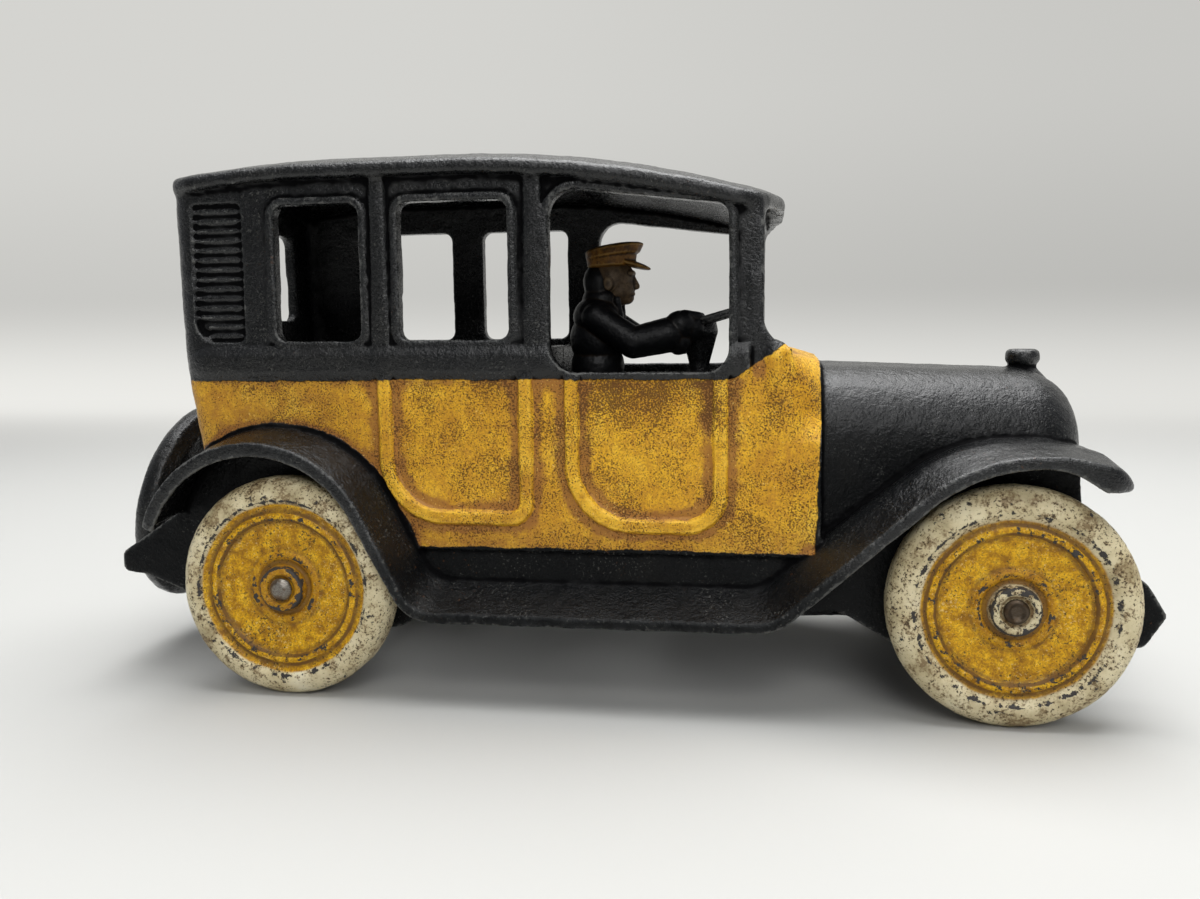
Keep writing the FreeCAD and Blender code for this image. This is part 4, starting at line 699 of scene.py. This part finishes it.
def draw_head(work):
    """A calm, plain head of ordinary proportions."""
    x, z = 64.6, 87.4
    ball(work, (x - 0.2, 0, z + 1.0), (5.0, 4.4, 5.0))
    ball(work, (x + 1.3, 0, z - 1.4), (3.7, 3.6, 4.0))
    ball(work, (x + 2.9, 0, z - 3.6), (1.9, 2.0, 1.5))
    limb(work, (x - 1.2, 0, z - 6.0), (x - 0.8, 0, z - 2.0), 2.9, 3.0)
    limb(work, (x + 4.5, 0, z + 1.0), (x + 5.3, 0, z - 0.9), 0.7, 0.85)
    ball(work, (x + 4.2, 0, z + 2.0), (1.0, 2.9, 0.8))
    ball(work, (x + 4.3, 0, z - 2.7), (0.8, 1.4, 0.5))
    for side in (-1, 1):
        ball(work, (x - 0.6, side * 4.2, z - 0.4), (1.1, 0.6, 1.6))


def draw_cap(work):
    """A peaked cap: band, wider soft crown that is highest at the front, and visor."""
    for step in range(7):
        share = step / 6
        ball(work, (64.2, 0, 91.4 + 1.8 * share), (5.6 + 0.3 * share, 5.1 + 0.3 * share, 0.9), -3)
    for step in range(5):
        share = step / 4
        ball(work, (64.6 + 0.3 * share, 0, 93.7 + 1.4 * share), (6.4 + 0.4 * share, 5.9, 1.1), -8)
    ball(work, (68.6, 0, 91.7), (4.9, 4.3, 0.8), 17)


def build_driver():
    coat = driver_paint("driver_coat_black", [(0.3, linear(4, 5, 7)), (0.7, linear(8, 8, 10))],
                        linear(40, 40, 42))
    face = driver_paint("driver_face_bronze", [(0.3, linear(52, 40, 28)), (0.5, linear(80, 64, 46)),
                                               (0.75, linear(104, 86, 64))], linear(122, 104, 80))
    cap = driver_paint("driver_cap_ochre", [(0.3, linear(58, 40, 16)), (0.5, linear(112, 74, 24)),
                                            (0.75, linear(150, 106, 40))], linear(168, 132, 74))
    figure = drawn("driver_coat", draw_coat, coat, 0.24, 4, [(1.6, 0.16)])
    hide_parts("driver_figure")
    drawn("driver_head", draw_head, face, 0.18, 7, [(0.9, 0.08)])
    drawn("driver_cap", draw_cap, cap, 0.18, 5, [(1.2, 0.16)])


# ------------------------------------------------------------------ floor, light and camera
def stage_material():
    """Pale floor under the lamps, running into a paper backdrop whose light is painted on as a glow seen
    by camera and glossy rays.
    """
    material = bpy.data.materials.new("pale_sweep")
    material.use_nodes = True
    tree = material.node_tree
    shader = tree.nodes["Principled BSDF"]
    shader.inputs["Base Color"].default_value = linear(182, 182, 179)
    shader.inputs["Roughness"].default_value = 0.6
    shader.inputs["Specular IOR Level"].default_value = 0.2

    def step(value, low, high, start, end):
        made = tree.nodes.new("ShaderNodeMapRange")
        made.interpolation_type = "SMOOTHSTEP"
        tree.links.new(value, made.inputs["Value"])
        for name, number in (("From Min", low), ("From Max", high), ("To Min", start), ("To Max", end)):
            made.inputs[name].default_value = number
        return made.outputs["Result"]

    def combine(operation, first, second):
        made = tree.nodes.new("ShaderNodeMath")
        made.operation = operation
        tree.links.new(first, made.inputs[0])
        tree.links.new(second, made.inputs[1])
        return made.outputs[0]

    where = tree.nodes.new("ShaderNodeTexCoord").outputs["Object"]
    parts = tree.nodes.new("ShaderNodeSeparateXYZ")
    tree.links.new(where, parts.inputs[0])
    x, y, z = parts.outputs
    # Painted light: the backdrop's glow is brightest at its foot, dimmer higher up and a little darker to
    # the right.
    low_part = step(z, 0.0, 0.14, 0.84, 0.58)
    middle = step(z, 0.10, 0.42, 0.0, 0.08)
    to_right = step(x, -0.6, 0.6, 0.0, -0.08)
    brightness = combine("ADD", combine("ADD", low_part, middle), to_right)
    painted_backdrop_light = tree.nodes.new("ShaderNodeEmission")
    painted_backdrop_light.inputs["Color"].default_value = (1.0, 0.995, 0.955, 1.0)
    tree.links.new(brightness, painted_backdrop_light.inputs["Strength"])
    rays = tree.nodes.new("ShaderNodeLightPath")
    seen = combine("MAXIMUM", combine("MAXIMUM", rays.outputs["Is Camera Ray"],
                                      rays.outputs["Is Glossy Ray"]),
                   rays.outputs["Is Transmission Ray"])
    share = combine("MULTIPLY", seen, step(y, 0.30, 0.85, 0.0, 1.0))
    mixer = tree.nodes.new("ShaderNodeMixShader")
    tree.links.new(share, mixer.inputs[0])
    tree.links.new(shader.outputs[0], mixer.inputs[1])
    tree.links.new(painted_backdrop_light.outputs[0], mixer.inputs[2])
    tree.links.new(mixer.outputs[0], tree.nodes["Material Output"].inputs["Surface"])
    return material


def build_stage():
    """A floor that curves up into a backdrop behind the car, in metres."""
    front, back, radius, height, half_width = 0.75, 0.75, 0.5, 1.9, 2.4
    line = [(-front, 0.0)]
    for step in range(17):
        angle = math.radians(90 * step / 16)
        line.append((back + radius * math.sin(angle), radius - radius * math.cos(angle)))
    line.append((back + radius, height))
    work = bmesh.new()
    rows = [[work.verts.new((x, y, z)) for y, z in line] for x in (-half_width, half_width)]
    for low, high in zip(range(len(line) - 1), range(1, len(line))):
        work.faces.new((rows[0][low], rows[1][low], rows[1][high], rows[0][high]))
    mesh = bpy.data.meshes.new("sweep")
    work.to_mesh(mesh)
    work.free()
    sweep = as_object("sweep", mesh)
    mesh.shade_smooth()
    mesh.materials.append(stage_material())


def area_light(name, where, target, size, power):
    """A white square lamp in metres and watts."""
    light = bpy.data.lights.new(name, "AREA")
    light.shape = "SQUARE"
    light.size = size
    light.energy = power
    lamp = bpy.data.objects.new(name, light)
    lamp.location = where
    lamp.rotation_euler = (Vector(target) - Vector(where)).to_track_quat("-Z", "Y").to_euler()
    bpy.context.scene.collection.objects.link(lamp)


def build_lights():
    """A wide lamp overhead, a softer one in front, and a room that is darker in front than above."""
    area_light("overhead", (0.06, 0.12, 0.95), (0.0, 0.0, 0.03), 0.9, 17.0)
    area_light("front_fill", (0.30, -1.15, 0.85), (0.0, 0.0, 0.05), 0.8, 8.8)
    world = bpy.data.worlds.new("soft_room")
    world.use_nodes = True
    tree = world.node_tree
    back = tree.nodes["Background"]
    back.inputs["Color"].default_value = (0.94, 0.96, 1.0, 1.0)
    where = tree.nodes.new("ShaderNodeTexCoord").outputs["Generated"]
    parts = tree.nodes.new("ShaderNodeSeparateXYZ")
    tree.links.new(where, parts.inputs[0])
    lean = tree.nodes.new("ShaderNodeMath")
    lean.operation = "ADD"
    tree.links.new(parts.outputs["Y"], lean.inputs[0])
    tree.links.new(parts.outputs["Z"], lean.inputs[1])
    bright = tree.nodes.new("ShaderNodeMapRange")
    tree.links.new(lean.outputs[0], bright.inputs["Value"])
    for name, number in (("From Min", -0.9), ("From Max", 0.7), ("To Min", 0.05), ("To Max", 0.48)):
        bright.inputs[name].default_value = number
    pale = tree.nodes.new("ShaderNodeMix")
    pale.inputs[3].default_value = 0.72
    tree.links.new(tree.nodes.new("ShaderNodeLightPath").outputs["Is Camera Ray"], pale.inputs[0])
    tree.links.new(bright.outputs["Result"], pale.inputs[2])
    tree.links.new(pale.outputs[0], back.inputs["Strength"])
    bpy.context.scene.world = world


def build_camera():
    """The photograph's viewpoint: just off square to the car's right side, at window height."""
    yaw, pitch, roll = 0.16, 0.11, -0.01
    forward = Vector((-math.sin(yaw) * math.cos(pitch), math.cos(yaw) * math.cos(pitch), -math.sin(pitch)))
    right = Vector((math.cos(yaw), math.sin(yaw), 0))
    up = right.cross(forward)
    tilted_right = right * math.cos(roll) + up * math.sin(roll)
    tilted_up = up * math.cos(roll) - right * math.sin(roll)
    camera = bpy.data.cameras.new("view")
    camera.sensor_width = 36
    camera.lens = 30.87
    camera.clip_start = 0.01
    seer = bpy.data.objects.new("view", camera)
    turn = Matrix((tilted_right, tilted_up, -forward)).transposed().to_4x4()
    seer.matrix_world = Matrix.Translation(place(99.5, -238.2, 75.2)) @ turn
    bpy.context.scene.collection.objects.link(seer)
    bpy.context.scene.camera = seer


build_camera()
build_stage()
build_lights()
build_castings()
build_driver()
bpy.context.scene.view_settings.view_transform = "Standard"
